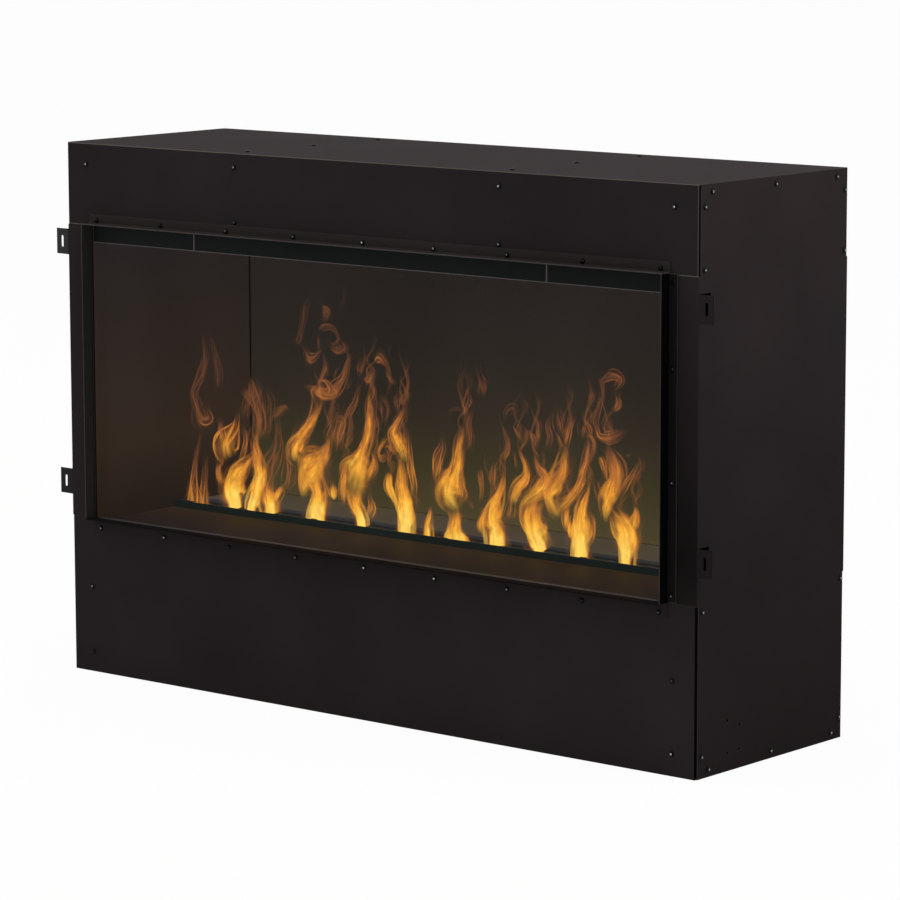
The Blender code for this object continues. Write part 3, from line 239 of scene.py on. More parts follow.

# Light of the flames painted on the inner sheets: shares of their height or depth, and the colour there
LINER_GLOW = (
    (0.00, (0.020, 0.013, 0.009)),
    (0.25, (0.036, 0.023, 0.015)),
    (0.55, (0.027, 0.019, 0.015)),
    (1.00, (0.019, 0.016, 0.016)),
)
REAR_GLOW = (
    (0.00, (0.074, 0.058, 0.026)),
    (0.16, (0.048, 0.040, 0.018)),
    (0.34, (0.033, 0.026, 0.018)),
    (0.58, (0.025, 0.020, 0.016)),
    (1.00, (0.020, 0.0165, 0.0160)),
)
SHELF_GLOW = (
    (0.00, (0.015, 0.0115, 0.011)),
    (0.25, (0.021, 0.0145, 0.011)),
    (0.48, (0.034, 0.021, 0.011)),
)
DECK_GLOW = (
    (0.6, (0.078, 0.058, 0.044)),
    (1.0, (0.066, 0.054, 0.030)),
)
OUTLET_GLOW = (
    (0.487, (0.009, 0.0125, 0.0110)),
    (0.500, (0.012, 0.0150, 0.0140)),
    (0.555, (0.020, 0.0200, 0.0200)),
    (0.640, (0.056, 0.0520, 0.0500)),
)

# The colours of the lit vapour, from its dim edges to its hot core, and how strongly it glows
FLAME_STOPS = (
    (0.00, (0.040, 0.020, 0.015)),
    (0.20, (0.130, 0.050, 0.026)),
    (0.40, (0.330, 0.110, 0.034)),
    (0.58, (0.640, 0.220, 0.030)),
    (0.74, (0.900, 0.375, 0.036)),
    (0.88, (0.970, 0.505, 0.055)),
    (1.00, (1.000, 0.680, 0.130)),
)
FLAME_STRENGTH = 1.25


# Nodes for materials

def set_inputs(tree, made, inputs):
    """Sets inputs of a node to numbers or colours, or feeds them from sockets."""
    for key, value in inputs.items():
        if isinstance(value, bpy.types.NodeSocket):
            tree.links.new(value, made.inputs[key])
        else:
            made.inputs[key].default_value = value


def node(tree, kind, inputs=None, **settings):
    made = tree.nodes.new(kind)
    for key, value in settings.items():
        setattr(made, key, value)
    set_inputs(tree, made, inputs or {})
    return made


def math_node(tree, operation, *values):
    inputs = dict(enumerate(values))
    return node(tree, "ShaderNodeMath", inputs, operation=operation).outputs[0]


def times(tree, first, second):
    return math_node(tree, "MULTIPLY", first, second)


def one_less(tree, value):
    """One, less a value."""
    return math_node(tree, "SUBTRACT", 1.0, value)


def coloured(colour):
    return (*colour, 1.0)


def scaled(colour, factor, lift=0.0):
    return [part * factor + lift for part in colour]


def begin(name):
    """A new material, its nodes, its shader and the place on the piece."""
    made = bpy.data.materials.new(name)
    made.use_nodes = True
    tree = made.node_tree
    place = node(tree, "ShaderNodeTexCoord").outputs["Object"]
    return made, tree, tree.nodes["Principled BSDF"], place


def noise(tree, place, scale, detail=3.0, stretch=(1, 1, 1)):
    spot = node(tree, "ShaderNodeMapping", {"Vector": place, "Scale": stretch}).outputs[0]
    inputs = {"Vector": spot, "Scale": scale, "Detail": detail}
    return node(tree, "ShaderNodeTexNoise", inputs).outputs["Fac"]


def cells(tree, place, scale, output):
    return node(tree, "ShaderNodeTexVoronoi", {"Vector": place, "Scale": scale}).outputs[output]


def ramp(tree, factor, stops):
    """A colour ramp. Each stop is a place from zero to one and a colour."""
    made = node(tree, "ShaderNodeValToRGB", {"Fac": factor})
    row = made.color_ramp.elements
    row.remove(row[-1])
    row[0].position = stops[0][0]
    row[0].color = coloured(stops[0][1])
    for place, colour in stops[1:]:
        row.new(place).color = coloured(colour)
    return made.outputs["Color"]


def span(tree, value, low, high, bottom=0.0, top=1.0, kind="LINEAR"):
    """Stretches a value from one range to another."""
    inputs = {"Value": value, "From Min": low, "From Max": high, "To Min": bottom, "To Max": top}
    return node(tree, "ShaderNodeMapRange", inputs, interpolation_type=kind).outputs[0]


def spread(tree, pattern, bottom=0.0, top=1.0):
    """Stretches the range that a noise mostly keeps to."""
    return span(tree, pattern, *NOISE_RANGE, bottom, top)


def mottled(tree, pattern, *colours):
    """Two colours that follow a noise."""
    return ramp(tree, pattern, list(zip(NOISE_RANGE, colours)))


def along(tree, place, axis):
    return node(tree, "ShaderNodeSeparateXYZ", {0: place}).outputs["XYZ".index(axis)]


def blend(tree, factor, first, second, kind="MIX"):
    """Mixes two colours."""
    inputs = {0: factor, 6: first, 7: second}
    return node(tree, "ShaderNodeMix", data_type="RGBA", blend_type=kind, inputs=inputs).outputs[2]


def level_colour(tree, level):
    """A grey of that level."""
    return node(tree, "ShaderNodeCombineColor", {0: level, 1: level, 2: level}).outputs[0]


def dimmed(tree, tint, level):
    """A colour times a level."""
    return blend(tree, 1.0, tint, level_colour(tree, level), "MULTIPLY")


def relief(tree, shader, height, strength, distance):
    inputs = {"Height": height, "Strength": strength, "Distance": distance}
    set_inputs(tree, shader, {"Normal": node(tree, "ShaderNodeBump", inputs).outputs[0]})


def show(tree, share, first, second):
    """Ends a material that has two shaders of its own with a mix of them."""
    mixed = node(tree, "ShaderNodeMixShader", {0: share, 1: first, 2: second}).outputs[0]
    tree.links.new(mixed, tree.nodes["Material Output"].inputs["Surface"])


def coat(name, colour, roughness, shine, grain=0.35):
    """Baked paint: a fine grain, slow drifts of tone and a few specks of dust."""
    made, tree, shader, place = begin(name)
    slow = noise(tree, place, DRIFT_SCALE, 4.0)
    fine = noise(tree, place, GRAIN_SCALE, 2.0)
    speck = span(tree, cells(tree, place, DUST_SCALE, "Distance"), *DUST_EDGE, bottom=0.5, top=0.0)
    tone = mottled(tree, slow, scaled(colour, 1 - DRIFT), scaled(colour, 1 + DRIFT))
    tone = blend(tree, spread(tree, fine, top=0.35), tone, coloured(scaled(colour, 1.5)))
    tone = blend(tree, speck, tone, coloured(scaled(colour, 2.5, 0.004)))
    rough = span(tree, slow, 0.25, 0.75, roughness - 0.05, roughness + 0.06)
    set_inputs(tree, shader, {"Base Color": tone, "Roughness": rough, "Specular IOR Level": shine})
    relief(tree, shader, fine, grain, GRAIN_DEPTH)
    return made, tree, shader, place


def paint(name, colour, **look):
    """A coat with nothing more painted on it."""
    return coat(name, colour, **look)[0]


def lit(tree, shader, colour):
    """Warm light of the flames, painted where it falls on the sheet."""
    set_inputs(tree, shader, {"Emission Color": colour, "Emission Strength": 1.0})


def tabbed_coat():
    """Powder coat on the left side panel, with painted light on its tabs, as if lit from behind the panel,
    brighter higher up.
    """
    made, tree, shader, place = coat("tabbed_coat", POWDER_TONE, POWDER_ROUGHNESS, POWDER_SHINE)
    tone = shader.inputs["Base Color"].links[0].from_socket
    height = span(tree, along(tree, place, "Z"), SILL, HEAD, *TAB_LIGHT_TONES)
    tab = span(tree, along(tree, place, "X"), -SIDE - SHEET, -SIDE, 1.0, 0.0)
    set_inputs(tree, shader, {"Base Color": blend(tree, tab, tone, level_colour(tree, height))})
    return made


def sided_coat():
    """Powder coat on the right side panel, with painted shade that darkens down the web and low on the stile.
    """
    made, tree, shader, place = coat("sided_coat", POWDER_TONE, POWDER_ROUGHNESS, POWDER_SHINE)
    tone = shader.inputs["Base Color"].links[0].from_socket
    height = along(tree, place, "Z")
    fall = span(tree, height, 0, HIGH, WEB_FALL, 0.0)
    beside = span(tree, height, SILL, HEAD)
    dip = ramp(tree, beside, [(share, (dark, dark, dark)) for share, dark in STILE_DIP])
    stile = span(tree, along(tree, place, "X"), SIDE - BEND, SIDE - BEND / 2, 1.0, 0.0)
    front = span(tree, along(tree, place, "Y"), FRONT + BEND, FRONT + 2 * BEND, 1.0, 0.0)
    dark = blend(tree, times(tree, stile, front), level_colour(tree, fall), dip)
    set_inputs(tree, shader, {"Base Color": blend(tree, dark, tone, coloured((0, 0, 0)))})
    return made


def wall_paint(name, axis, near, far, stops, wave):
    """An inner wall with the flames' light from below painted on it, in soft drifts. The painted light fades
    in its corners, painted shade there, and leaves its outer face dark.
    """
    made, tree, shader, place = coat(name, WALL_TONE, 0.6, 0.03)
    out = math_node(tree, "ABSOLUTE", along(tree, place, "X"))
    deep = along(tree, place, "Y")
    if axis == "X":
        way, corner, through, face = out, LINER_X, deep, BACK + GAP
    else:
        way, corner, through, face = deep, BACK - BEHIND, out, LINER_X
    tint = ramp(tree, span(tree, along(tree, place, "Z"), DECK_TOP, OPENING_TOP), stops)
    side = span(tree, along(tree, place, axis), near, far, 0.85, 1.0)
    level = times(tree, side, spread(tree, noise(tree, place, wave, 2.0, (1, 1, 0.5)), 0.86, 1.14))
    open_part = span(tree, way, corner - 2 * CORNER_SHADE, corner - CORNER_SHADE, 1.0, CORNER_DARK)
    inner = span(tree, through, face + SKIN[0], face + SKIN[1], 1.0, 0.0)
    lit(tree, shader, dimmed(tree, tint, times(tree, times(tree, level, open_part), inner)))
    return made


def ledge_paint(name, colour, roughness, shine, top, stops):
    """A level sheet with the slot's light painted on it. Only its upper face has the painted light."""
    made, tree, shader, place = coat(name, colour, roughness, shine)
    tint = ramp(tree, span(tree, along(tree, place, "Y"), FRONT, BACK), stops)
    level = spread(tree, noise(tree, place, 7.0, 2.0, (1, 0.6, 1)), 0.88, 1.12)
    upper = span(tree, along(tree, place, "Z"), top - SKIN[1], top - SKIN[0])
    lit(tree, shader, dimmed(tree, tint, times(tree, level, upper)))
    return made


def zinc_sheet():
    """Galvanised steel with its crystal pattern."""
    made, tree, shader, place = begin("zinc_sheet")
    grey = node(tree, "ShaderNodeSeparateColor", {0: cells(tree, place, 90.0, "Color")}).outputs[0]
    tone = ramp(tree, grey, [(0.0, (0.30, 0.31, 0.32)), (1.0, (0.46, 0.47, 0.48))])
    rough = span(tree, grey, 0.0, 1.0, 0.34, 0.52)
    set_inputs(tree, shader, {"Base Color": tone, "Roughness": rough, "Metallic": 1.0})
    relief(tree, shader, noise(tree, place, 400.0, 2.0), 0.12, 0.0002)
    return made


def moulded(name, colour, roughness, grain=0.3, scale=1200.0):
    """Moulded plastic or rubber: spark-eroded grain and a faint flow mark."""
    made, tree, shader, place = begin(name)
    fine = noise(tree, place, scale, 2.0)
    flow = noise(tree, place, 14.0, 3.0)
    tone = mottled(tree, flow, scaled(colour, 0.88), scaled(colour, 1.12))
    rough = spread(tree, fine, roughness - 0.06, roughness + 0.06)
    set_inputs(tree, shader, {"Base Color": tone, "Roughness": rough, "Specular IOR Level": 0.35})
    relief(tree, shader, fine, grain, 0.0001)
    return made


def circuit_board():
    """Green board with copper runs and pale pads under the mask."""
    made, tree, shader, place = begin("circuit_board")
    inputs = {"Vector": place, "Scale": 240.0, "Randomness": 0.25}
    grid = node(tree, "ShaderNodeTexVoronoi", inputs, feature="F1", distance="CHEBYCHEV").outputs["Distance"]
    runs = span(tree, grid, 0.40, 0.44)
    pads = span(tree, grid, 0.06, 0.10, 1.0, 0.0)
    tone = blend(tree, runs, coloured((0.012, 0.075, 0.030)), coloured((0.030, 0.140, 0.055)))
    tone = blend(tree, pads, tone, coloured((0.55, 0.52, 0.42)))
    set_inputs(tree, shader, {"Base Color": tone, "Roughness": span(tree, pads, 0.0, 1.0, 0.38, 0.25)})
    relief(tree, shader, runs, 0.3, 0.0001)
    return made


def worked_metal(name, scale, detail, stretch, tones, roughness, metallic, depth):
    """Metal with fine marks along one way. Its tone and roughness follow the marks."""
    made, tree, shader, place = begin(name)
    marks = noise(tree, place, scale, detail, stretch)
    tone, rough = mottled(tree, marks, *tones), spread(tree, marks, *roughness)
    set_inputs(tree, shader, {"Base Color": tone, "Roughness": rough, "Metallic": metallic})
    relief(tree, shader, marks, 0.1, depth)
    return made


def channel_metal():
    """Brushed aluminium of the channel under the glass."""
    tones = ((0.14, 0.13, 0.125), (0.22, 0.205, 0.195))
    return worked_metal("channel_metal", 250.0, 3.0, (0.05, 1, 1), tones, (0.35, 0.50), 0.5, 0.0001)


def brass():
    """Turned brass of the transducers."""
    tones = ((0.50, 0.35, 0.13), (0.62, 0.46, 0.20))
    return worked_metal("brass", 300.0, 2.0, (6, 1, 1), tones, (0.26, 0.42), 1.0, 0.0002)


def lens_plastic():
    """A ribbed lens, faintly lit from below."""
    made, tree, shader, place = begin("lens_plastic")
    inputs = {"Vector": place, "Scale": 160.0}
    ribs = node(tree, "ShaderNodeTexWave", inputs, bands_direction="X").outputs["Fac"]
    tone = ramp(tree, ribs, [(0.0, (0.050, 0.045, 0.038)), (1.0, (0.080, 0.073, 0.064))])
    glow = ramp(tree, ribs, [(0.0, (0.55, 0.51, 0.46)), (1.0, (0.75, 0.70, 0.64))])
    set_inputs(tree, shader, {"Base Color": tone, "Roughness": 0.25})
    set_inputs(tree, shader, {"Emission Color": glow, "Emission Strength": 0.05})
    relief(tree, shader, ribs, 0.4, 0.0004)
    return made


def screw_steel():
    """Black oxide on the screws, a little worn where the driver has slipped."""
    made, tree, shader, place = begin("screw_steel")
    wear_and_glint = noise(tree, place, 700.0, 3.0)
    tone = ramp(tree, wear_and_glint, [(0.50, (0.0012, 0.0011, 0.0011)), (0.80, (0.0140, 0.0130, 0.0120))])
    rough = span(tree, wear_and_glint, 0.3, 0.8, 0.30, 0.45)
    set_inputs(tree, shader, {"Base Color": tone, "Roughness": rough, "Specular IOR Level": 0.06})
    relief(tree, shader, wear_and_glint, 0.15, 0.0001)
    return made


def bare_steel():
    """Bright metal in the screws' cross recesses, for their glints. Away from the side panels, a noise makes
    many of them dark: painted shade that hides their glints.
    """
    made, tree, shader, place = begin("bare_steel")
    scratch = noise(tree, place, 1500.0, 3.0)
    bright = mottled(tree, scratch, (0.42, 0.41, 0.40), (0.80, 0.79, 0.77))
    # Recesses near the side panels and where the noise is high keep their glints; the others are painted dark
    out = math_node(tree, "ABSOLUTE", along(tree, place, "X"))
    side_glint = span(tree, out, SIDE - STILE_SCREW_INSETS[0], SIDE)
    wear_and_glint = span(tree, noise(tree, place, 17.0, 1.0), 0.42, 0.60)
    glinting = math_node(tree, "MAXIMUM", side_glint, wear_and_glint)
    tone = blend(tree, glinting, coloured((0.035, 0.034, 0.033)), bright)
    rough = spread(tree, scratch, 0.25, 0.40)
    set_inputs(tree, shader, {"Base Color": tone, "Roughness": rough, "Metallic": 1.0})
    relief(tree, shader, scratch, 0.1, 0.0001)
    return made


def clear_glass():
    """Flat glass: almost all light goes through, and a faint reflection stays on it."""
    made, tree, shader, _ = begin("clear_glass")
    tree.nodes.remove(shader)
    clear = node(tree, "ShaderNodeBsdfTransparent", {"Color": coloured((0.975, 0.975, 0.970))}).outputs[0]
    inputs = {"Color": coloured((1, 1, 1)), "Roughness": 0.02}
    gloss = node(tree, "ShaderNodeBsdfGlossy", inputs).outputs[0]
    facing = node(tree, "ShaderNodeLayerWeight", {"Blend": 0.5}).outputs["Facing"]
    share = times(tree, math_node(tree, "POWER", facing, 5.0), 0.4)
    shadow = node(tree, "ShaderNodeLightPath").outputs["Is Shadow Ray"]
    show(tree, times(tree, share, one_less(tree, shadow)), clear, gloss)
    return made


def flame_vapour():
    """Lit vapour: streaks that run with the flow and fade out towards the edges of each strand."""
    made, tree, shader, _ = begin("flame_vapour")
    tree.nodes.remove(shader)
    flow = node(tree, "ShaderNodeUVMap", uv_map="flow").outputs[0]
    warmth = node(tree, "ShaderNodeAttribute", attribute_name="warmth").outputs["Fac"]
    veil = node(tree, "ShaderNodeAttribute", attribute_name="veil").outputs["Fac"]
    sway = noise(tree, flow, 1.0, 2.0, (1.2, 34.0, 1.0))
    streak = noise(tree, flow, 1.0, 4.0, (3.2, 22.0, 1.0))
    patch = noise(tree, flow, 1.0, 2.0, (1.3, 26.0, 1.0))
    wisp = noise(tree, flow, 1.0, 3.0, (2.4, 55.0, 1.0))
    across = math_node(tree, "ADD", along(tree, flow, "X"), span(tree, sway, 0.25, 0.75, -0.42, 0.42))
    edge = one_less(tree, math_node(tree, "POWER", math_node(tree, "ABSOLUTE", across), 2.0))
    uneven = math_node(tree, "ADD", spread(tree, streak, -0.2, 0.12), spread(tree, patch, -0.16, 0.1))
    uneven = times(tree, uneven, math_node(tree, "SUBTRACT", 1.35, warmth))
    core = math_node(tree, "ADD", times(tree, warmth, span(tree, edge, 0.0, 0.9, 0.48, 1.12)), uneven)
    inputs = {"Color": ramp(tree, core, FLAME_STOPS), "Strength": FLAME_STRENGTH}
    glow = node(tree, "ShaderNodeEmission", inputs).outputs[0]
    soft = times(tree, veil, span(tree, edge, 0.0, 0.9, kind="SMOOTHSTEP"))
    soft = times(tree, soft, span(tree, patch, 0.3, 0.6, 0.8, 1.0))
    gaps = times(tree, one_less(tree, times(tree, warmth, 0.85)), span(tree, wisp, 0.36, 0.62, 1.15, 0.0))
    clear = node(tree, "ShaderNodeBsdfTransparent").outputs[0]
    show(tree, times(tree, soft, one_less(tree, gaps)), clear, glow)
    made.cycles.emission_sampling = "NONE"
    return made


# Finishes

POWDER = paint("powder_coat", POWDER_TONE, roughness=POWDER_ROUGHNESS, shine=POWDER_SHINE)
TABBED = tabbed_coat()
SIDED = sided_coat()

# Painted highlight: a lighter paint on the outer corners and bends, where they catch more light
POWDER_HIGHLIGHT = paint("powder_highlight", (0.050, 0.044, 0.040), roughness=0.5, shine=0.05, grain=0.15)

# A painted highlight on the eased edges of the upper front panel, pale along its top edge
RIM_HIGHLIGHT = paint("rim_highlight", (0.150, 0.132, 0.112), roughness=0.5, shine=0.05, grain=0.15)

# Painted shade: almost black paint deep in a joint, where no light comes
JOINT_SHADE = paint("joint_shade", (0.0008, 0.0007, 0.0007), roughness=0.8, shine=0.02, grain=0.15)

# The trim: its flange; a painted highlight on its cut edges; painted shade on the lips that turn away from
# the lights;
# a darker coat, painted shade, on the bottom lip's upper face and the right trim; and painted light on the
# left lip's inner side, seen across the opening
TRIM = paint("trim_coat", (0.0285, 0.0240, 0.0225), roughness=0.55, shine=0.02, grain=0.25)
TRIM_HIGHLIGHT = paint("trim_highlight", (0.100, 0.094, 0.086), roughness=0.35, shine=0.4, grain=0.15)
SHADED = paint("shaded_trim", (0.0024, 0.0018, 0.0020), roughness=0.5, shine=0.02, grain=0.25)
LEDGE_SHADE = paint("ledge_shade", (0.0100, 0.0094, 0.0094), roughness=0.6, shine=0.01, grain=0.25)
INNER_LIGHT = paint("inner_light_trim", (0.0240, 0.0270, 0.0245), roughness=0.5, shine=0.03, grain=0.25)

# The valance strips, and a painted highlight on their cut edges
VALANCE = paint("valance_coat", (0.0105, 0.0122, 0.0118), roughness=0.45, shine=0.02, grain=0.15)
VALANCE_HIGHLIGHT = paint("valance_highlight", (0.205, 0.195, 0.185), roughness=0.40, shine=0.3, grain=0.15)

# Inner sheets, shelf and covers with the flames' light painted on them
LINER = wall_paint("liner_paint", "Y", FRONT, BACK, LINER_GLOW, 9.0)
REAR = wall_paint("rear_paint", "X", -SIDE, SIDE, REAR_GLOW, 4.0)
SHELF = ledge_paint("shelf_paint", (0.0065, 0.0056, 0.0054), 0.6, 0.02, SHELF_TOP, SHELF_GLOW)
DECK = ledge_paint("deck_paint", (0.0090, 0.0085, 0.0080), 0.5, 0.05, DECK_TOP, DECK_GLOW)
OUTLET = ledge_paint("outlet_paint", (0.0040, 0.0050, 0.0048), 0.7, 0.003, SHELF_TOP, OUTLET_GLOW)
ZINC = zinc_sheet()
BLACK_PLASTIC = moulded("black_plastic", (0.022, 0.022, 0.024), 0.50)
GREY_PLASTIC = moulded("grey_plastic", (0.30, 0.31, 0.32), 0.50)
ANODISED = moulded("anodised", (0.13, 0.13, 0.135), 0.50, 0.2, 2400.0)
RUBBER = moulded("rubber", (0.016, 0.016, 0.016), 0.80, 0.5, 700.0)
BOARD = circuit_board()
CHANNEL = channel_metal()
LENS = lens_plastic()
BRASS = brass()
SCREW = screw_steel()
STEEL = bare_steel()
GLASS = clear_glass()
VAPOUR = flame_vapour()


# Meshes, all written in the frame's own places

def prism(bm, outline, axis, low, high):
    """Sweeps an outline along an axis. Its two coordinates are the other two axes, in X, Y, Z order."""
    along_axis = "XYZ".index(axis)
    first, second = [k for k in range(3) if k != along_axis]
    loops = []
    for level in (low, high):
        loop = []
        for a, b in outline:
            place = [0.0, 0.0, 0.0]
            place[first], place[second], place[along_axis] = a, b, level
            loop.append(bm.verts.new(place))
        loops.append(loop)
        bm.faces.new(loop)
    for k in range(len(outline)):
        bm.faces.new((loops[0][k], loops[0][k - 1], loops[1][k - 1], loops[1][k]))


def block(bm, xs, ys, zs):
    (x0, x1), (y0, y1) = sorted(xs), sorted(ys)
    prism(bm, [(x0, y0), (x1, y0), (x1, y1), (x0, y1)], "Z", *zs)


def circle(centre, radius, sides):
    turns = [k * (2 * math.pi / sides) for k in range(sides)]
    return [(centre[0] + radius * math.cos(turn), centre[1] + radius * math.sin(turn)) for turn in turns]


def rounded(points, radii):
    """A polyline with each inner corner drawn as an arc of its own radius."""
    result = [points[0]]
    for before, here, after, radius in zip(points, points[1:], points[2:], radii):
        into = (Vector(here) - Vector(before)).normalized()
        out = (Vector(after) - Vector(here)).normalized()
        turn = math.atan2(into.x * out.y - into.y * out.x, into.dot(out))
        start = Vector(here) - into * radius * math.tan(abs(turn) / 2)
        side = Vector((-into.y, into.x)) * math.copysign(radius, turn)
        for k in range(BEND_STEPS + 1):
            arm = Matrix.Rotation(turn * k / BEND_STEPS, 2) @ (-side)
            result.append(tuple(start + side + arm))
    result.append(points[-1])
    return result


def folded(path):
    """The outline of a bent sheet. One face follows the path and the other lies to its left."""
    ways = [(Vector(b) - Vector(a)).normalized() for a, b in zip(path, path[1:])]
    lefts = [Vector((-way.y, way.x)) for way in ways]
    other = [tuple(Vector(path[0]) + lefts[0] * SHEET)]
    near, far = [], []
    for k, corner in enumerate(path[1:-1]):
        shift = (lefts[k] + lefts[k + 1]) / (1 + lefts[k].dot(lefts[k + 1]))
        other.append(tuple(Vector(corner) + shift * SHEET))
        to_left = ways[k].x * ways[k + 1].y - ways[k].y * ways[k + 1].x > 0
        near.append(BEND + SHEET if to_left else BEND)
        far.append(BEND if to_left else BEND + SHEET)
    other.append(tuple(Vector(path[-1]) + lefts[-1] * SHEET))
    return rounded(path, near) + rounded(other, far)[::-1]


def bent(path, axis, low, high, hand=1):
    """A bent sheet, swept along an axis, on one side of the box or the other."""
    bm = bmesh.new()
    prism(bm, [(a * hand, b) for a, b in folded(path)], axis, low, high)
    return bm


def linked(name, bm, finishes=()):
    """An object of the scene that holds a shape and its materials."""
    mesh = bpy.data.meshes.new(name)
    bm.to_mesh(mesh)
    bm.free()
    for finish in finishes:
        mesh.materials.append(finish)
    made = bpy.data.objects.new(name, mesh)
    scene.collection.objects.link(made)
    return made


def loose(name, bm):
    """An object for a moment, for a cut."""
    bmesh.ops.recalc_face_normals(bm, faces=bm.faces)
    return linked(name, bm)


def carved(bm, tool, operation="DIFFERENCE"):
    """A shape with another cut out of it, or joined to it."""
    base, other = loose("base", bm), loose("tool", tool)
    change = base.modifiers.new("change", "BOOLEAN")
    change.operation = operation
    change.object = other
    bpy.context.view_layer.update()
    mesh = bpy.data.meshes.new_from_object(base.evaluated_get(bpy.context.evaluated_depsgraph_get()))
    result = bmesh.new()
    result.from_mesh(mesh)
    for thing in (base, other):
        bpy.data.objects.remove(thing, do_unlink=True)
    bpy.data.meshes.remove(mesh)
    return result


def eased(bm, width=EDGE_EASE):
    """Rounds the outer edges a little. The rounded faces take the second material."""
    bmesh.ops.dissolve_limit(bm, angle_limit=FLAT_ANGLE, verts=bm.verts, edges=bm.edges)
    bmesh.ops.recalc_face_normals(bm, faces=bm.faces)
    sharp = [e for e in bm.edges if len(e.link_faces) == 2 and e.calc_face_angle() > SHARP_ANGLE]
    how = {"offset": width, "segments": EASE_STEPS, "profile": 0.5}
    bmesh.ops.bevel(bm, geom=sharp, affect="EDGES", material=1, **how)
    return bm


def piece(name, bm, finishes, body, *nodes):
    """A shown piece that rides on a body and stands for CAD nodes."""
    made = linked(name, bm, finishes)
    made.data.shade_smooth()
    made.data.set_sharp_from_angle(angle=SHARP_ANGLE)
    weights = made.modifiers.new("weights", "WEIGHTED_NORMAL")
    weights.keep_sharp = True
    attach(made, body)
    if nodes:
        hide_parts(*nodes)
    return made


def sheet(name, bm, finishes, body="firebox", width=EDGE_EASE):
    """A finer sheet that stands for the CAD node of the same name."""
    return piece(f"{name}_sheet", eased(bm, width), finishes, body, name)


def repaint(made, slot, chosen):
    """Gives another of a piece's materials to the faces that a test picks."""
    for face in made.data.polygons:
        if chosen(face):
            face.material_index = slot


# Casing

def plate(name, top):
    """The top or the bottom panel, with side flanges inside the side panels."""
    z, edge = (HIGH, HIGH - PLATE_FLANGE) if top else (0, PLATE_FLANGE)
    hand = 1 if top else -1
    path = [(hand * INSIDE, edge), (hand * INSIDE, z), (-hand * INSIDE, z), (-hand * INSIDE, edge)]
    bm = bent(path, "Y", FRONT + BEHIND, BACK - BEHIND)
    corners = bmesh.new()
    zs = (min(z, edge) - OVERRUN, max(z, edge) + OVERRUN)
    for hand in HANDS:
        xs = (hand * (INSIDE - SHEET - BEND - GAP), hand * (INSIDE + OVERRUN))
        block(corners, xs, (FRONT - OVERRUN, FRONT + RETURN_DEPTH + GAP), zs)
        block(corners, xs, (BACK - RETURN_DEPTH - GAP, BACK + OVERRUN), zs)
    # A painted highlight on the eased edges
    sheet(name, carved(bm, corners), (POWDER, POWDER_HIGHLIGHT))


def stadium(centre, width, height):
    """The outline of a slot with round ends."""
    radius, straight = width / 2, (height - width) / 2
    half = HOLE_SIDES // 2
    arc = [k * math.pi / half for k in range(half + 1)]
    x, z = centre
    top = [(x + radius * math.cos(a), z + straight + radius * math.sin(a)) for a in arc]
    return top + [(x - radius * math.cos(a), z - straight - radius * math.sin(a)) for a in arc]


def side_panel(name, hand, tab_heights):
    """A side: web, front and rear stiles, and two slotted tabs bent out of it."""
    path = [(STILE_EDGE, FRONT), (SIDE, FRONT), (SIDE, BACK), (STILE_EDGE, BACK)]
    bm = bent(path, "Z", 0, HIGH, hand)
    tools = bmesh.new()
    xs = (hand * (STILE_EDGE - OVERRUN), hand * (SIDE + OVERRUN))
    edge = SHEET + BEND
    joint = edge + JOINT_WIDTH
    for ys in ((FRONT - OVERRUN, FRONT + joint), (BACK - joint, BACK + OVERRUN)):
        block(tools, xs, ys, (-OVERRUN, SILL + GAP))
        block(tools, xs, ys, (HEAD - GAP, HIGH + OVERRUN))
    web = (hand * (SIDE - SHEET - OVERRUN), hand * (SIDE + OVERRUN))
    half = TAB_HEIGHT / 2
    for z in tab_heights:
        block(tools, web, (FRONT + edge, FRONT + edge + TAB_REACH), (z - half - GAP, z + half + GAP))
    for depth, z in PILOT_HOLES:
        prism(tools, circle((FRONT + depth, z), PILOT_RADIUS, HOLE_SIDES), "X", *sorted(web))
    if hand < 0:
        entry = (FRONT + ENTRY_DEPTH, ENTRY_HEIGHT)
        prism(tools, circle(entry, ENTRY_RADIUS, HOLE_SIDES), "X", *sorted(web))
    bm = carved(bm, tools)
    tabs = bmesh.new()
    for z in tab_heights:
        reach = (hand * (SIDE - STILE_WIDTH / 2), hand * (SIDE + TAB_REACH))
        block(tabs, reach, (FRONT, FRONT + SHEET), (z - half, z + half))
    bm = carved(bm, tabs, "UNION")
    slots = bmesh.new()
    for z in tab_heights:
        outline = stadium((hand * (SIDE + TAB_CENTER_OUT), z), SLOT_WIDTH, SLOT_HEIGHT)
        prism(slots, outline, "Y", FRONT - OVERRUN, FRONT + SHEET + OVERRUN)
    # Painted light and shade on the sides, a painted highlight on their eased edges, and painted shade on the
    # tabs' eased edges
    made = sheet(name, carved(bm, slots), (TABBED if hand < 0 else SIDED, POWDER_HIGHLIGHT, JOINT_SHADE))
    for face in made.data.polygons:
        by_tab = any(abs(face.center.z - z) < half + GAP for z in tab_heights)
        if by_tab and face.material_index == 1 and abs(face.center.x) > SIDE - SHEET:
            face.material_index = 2


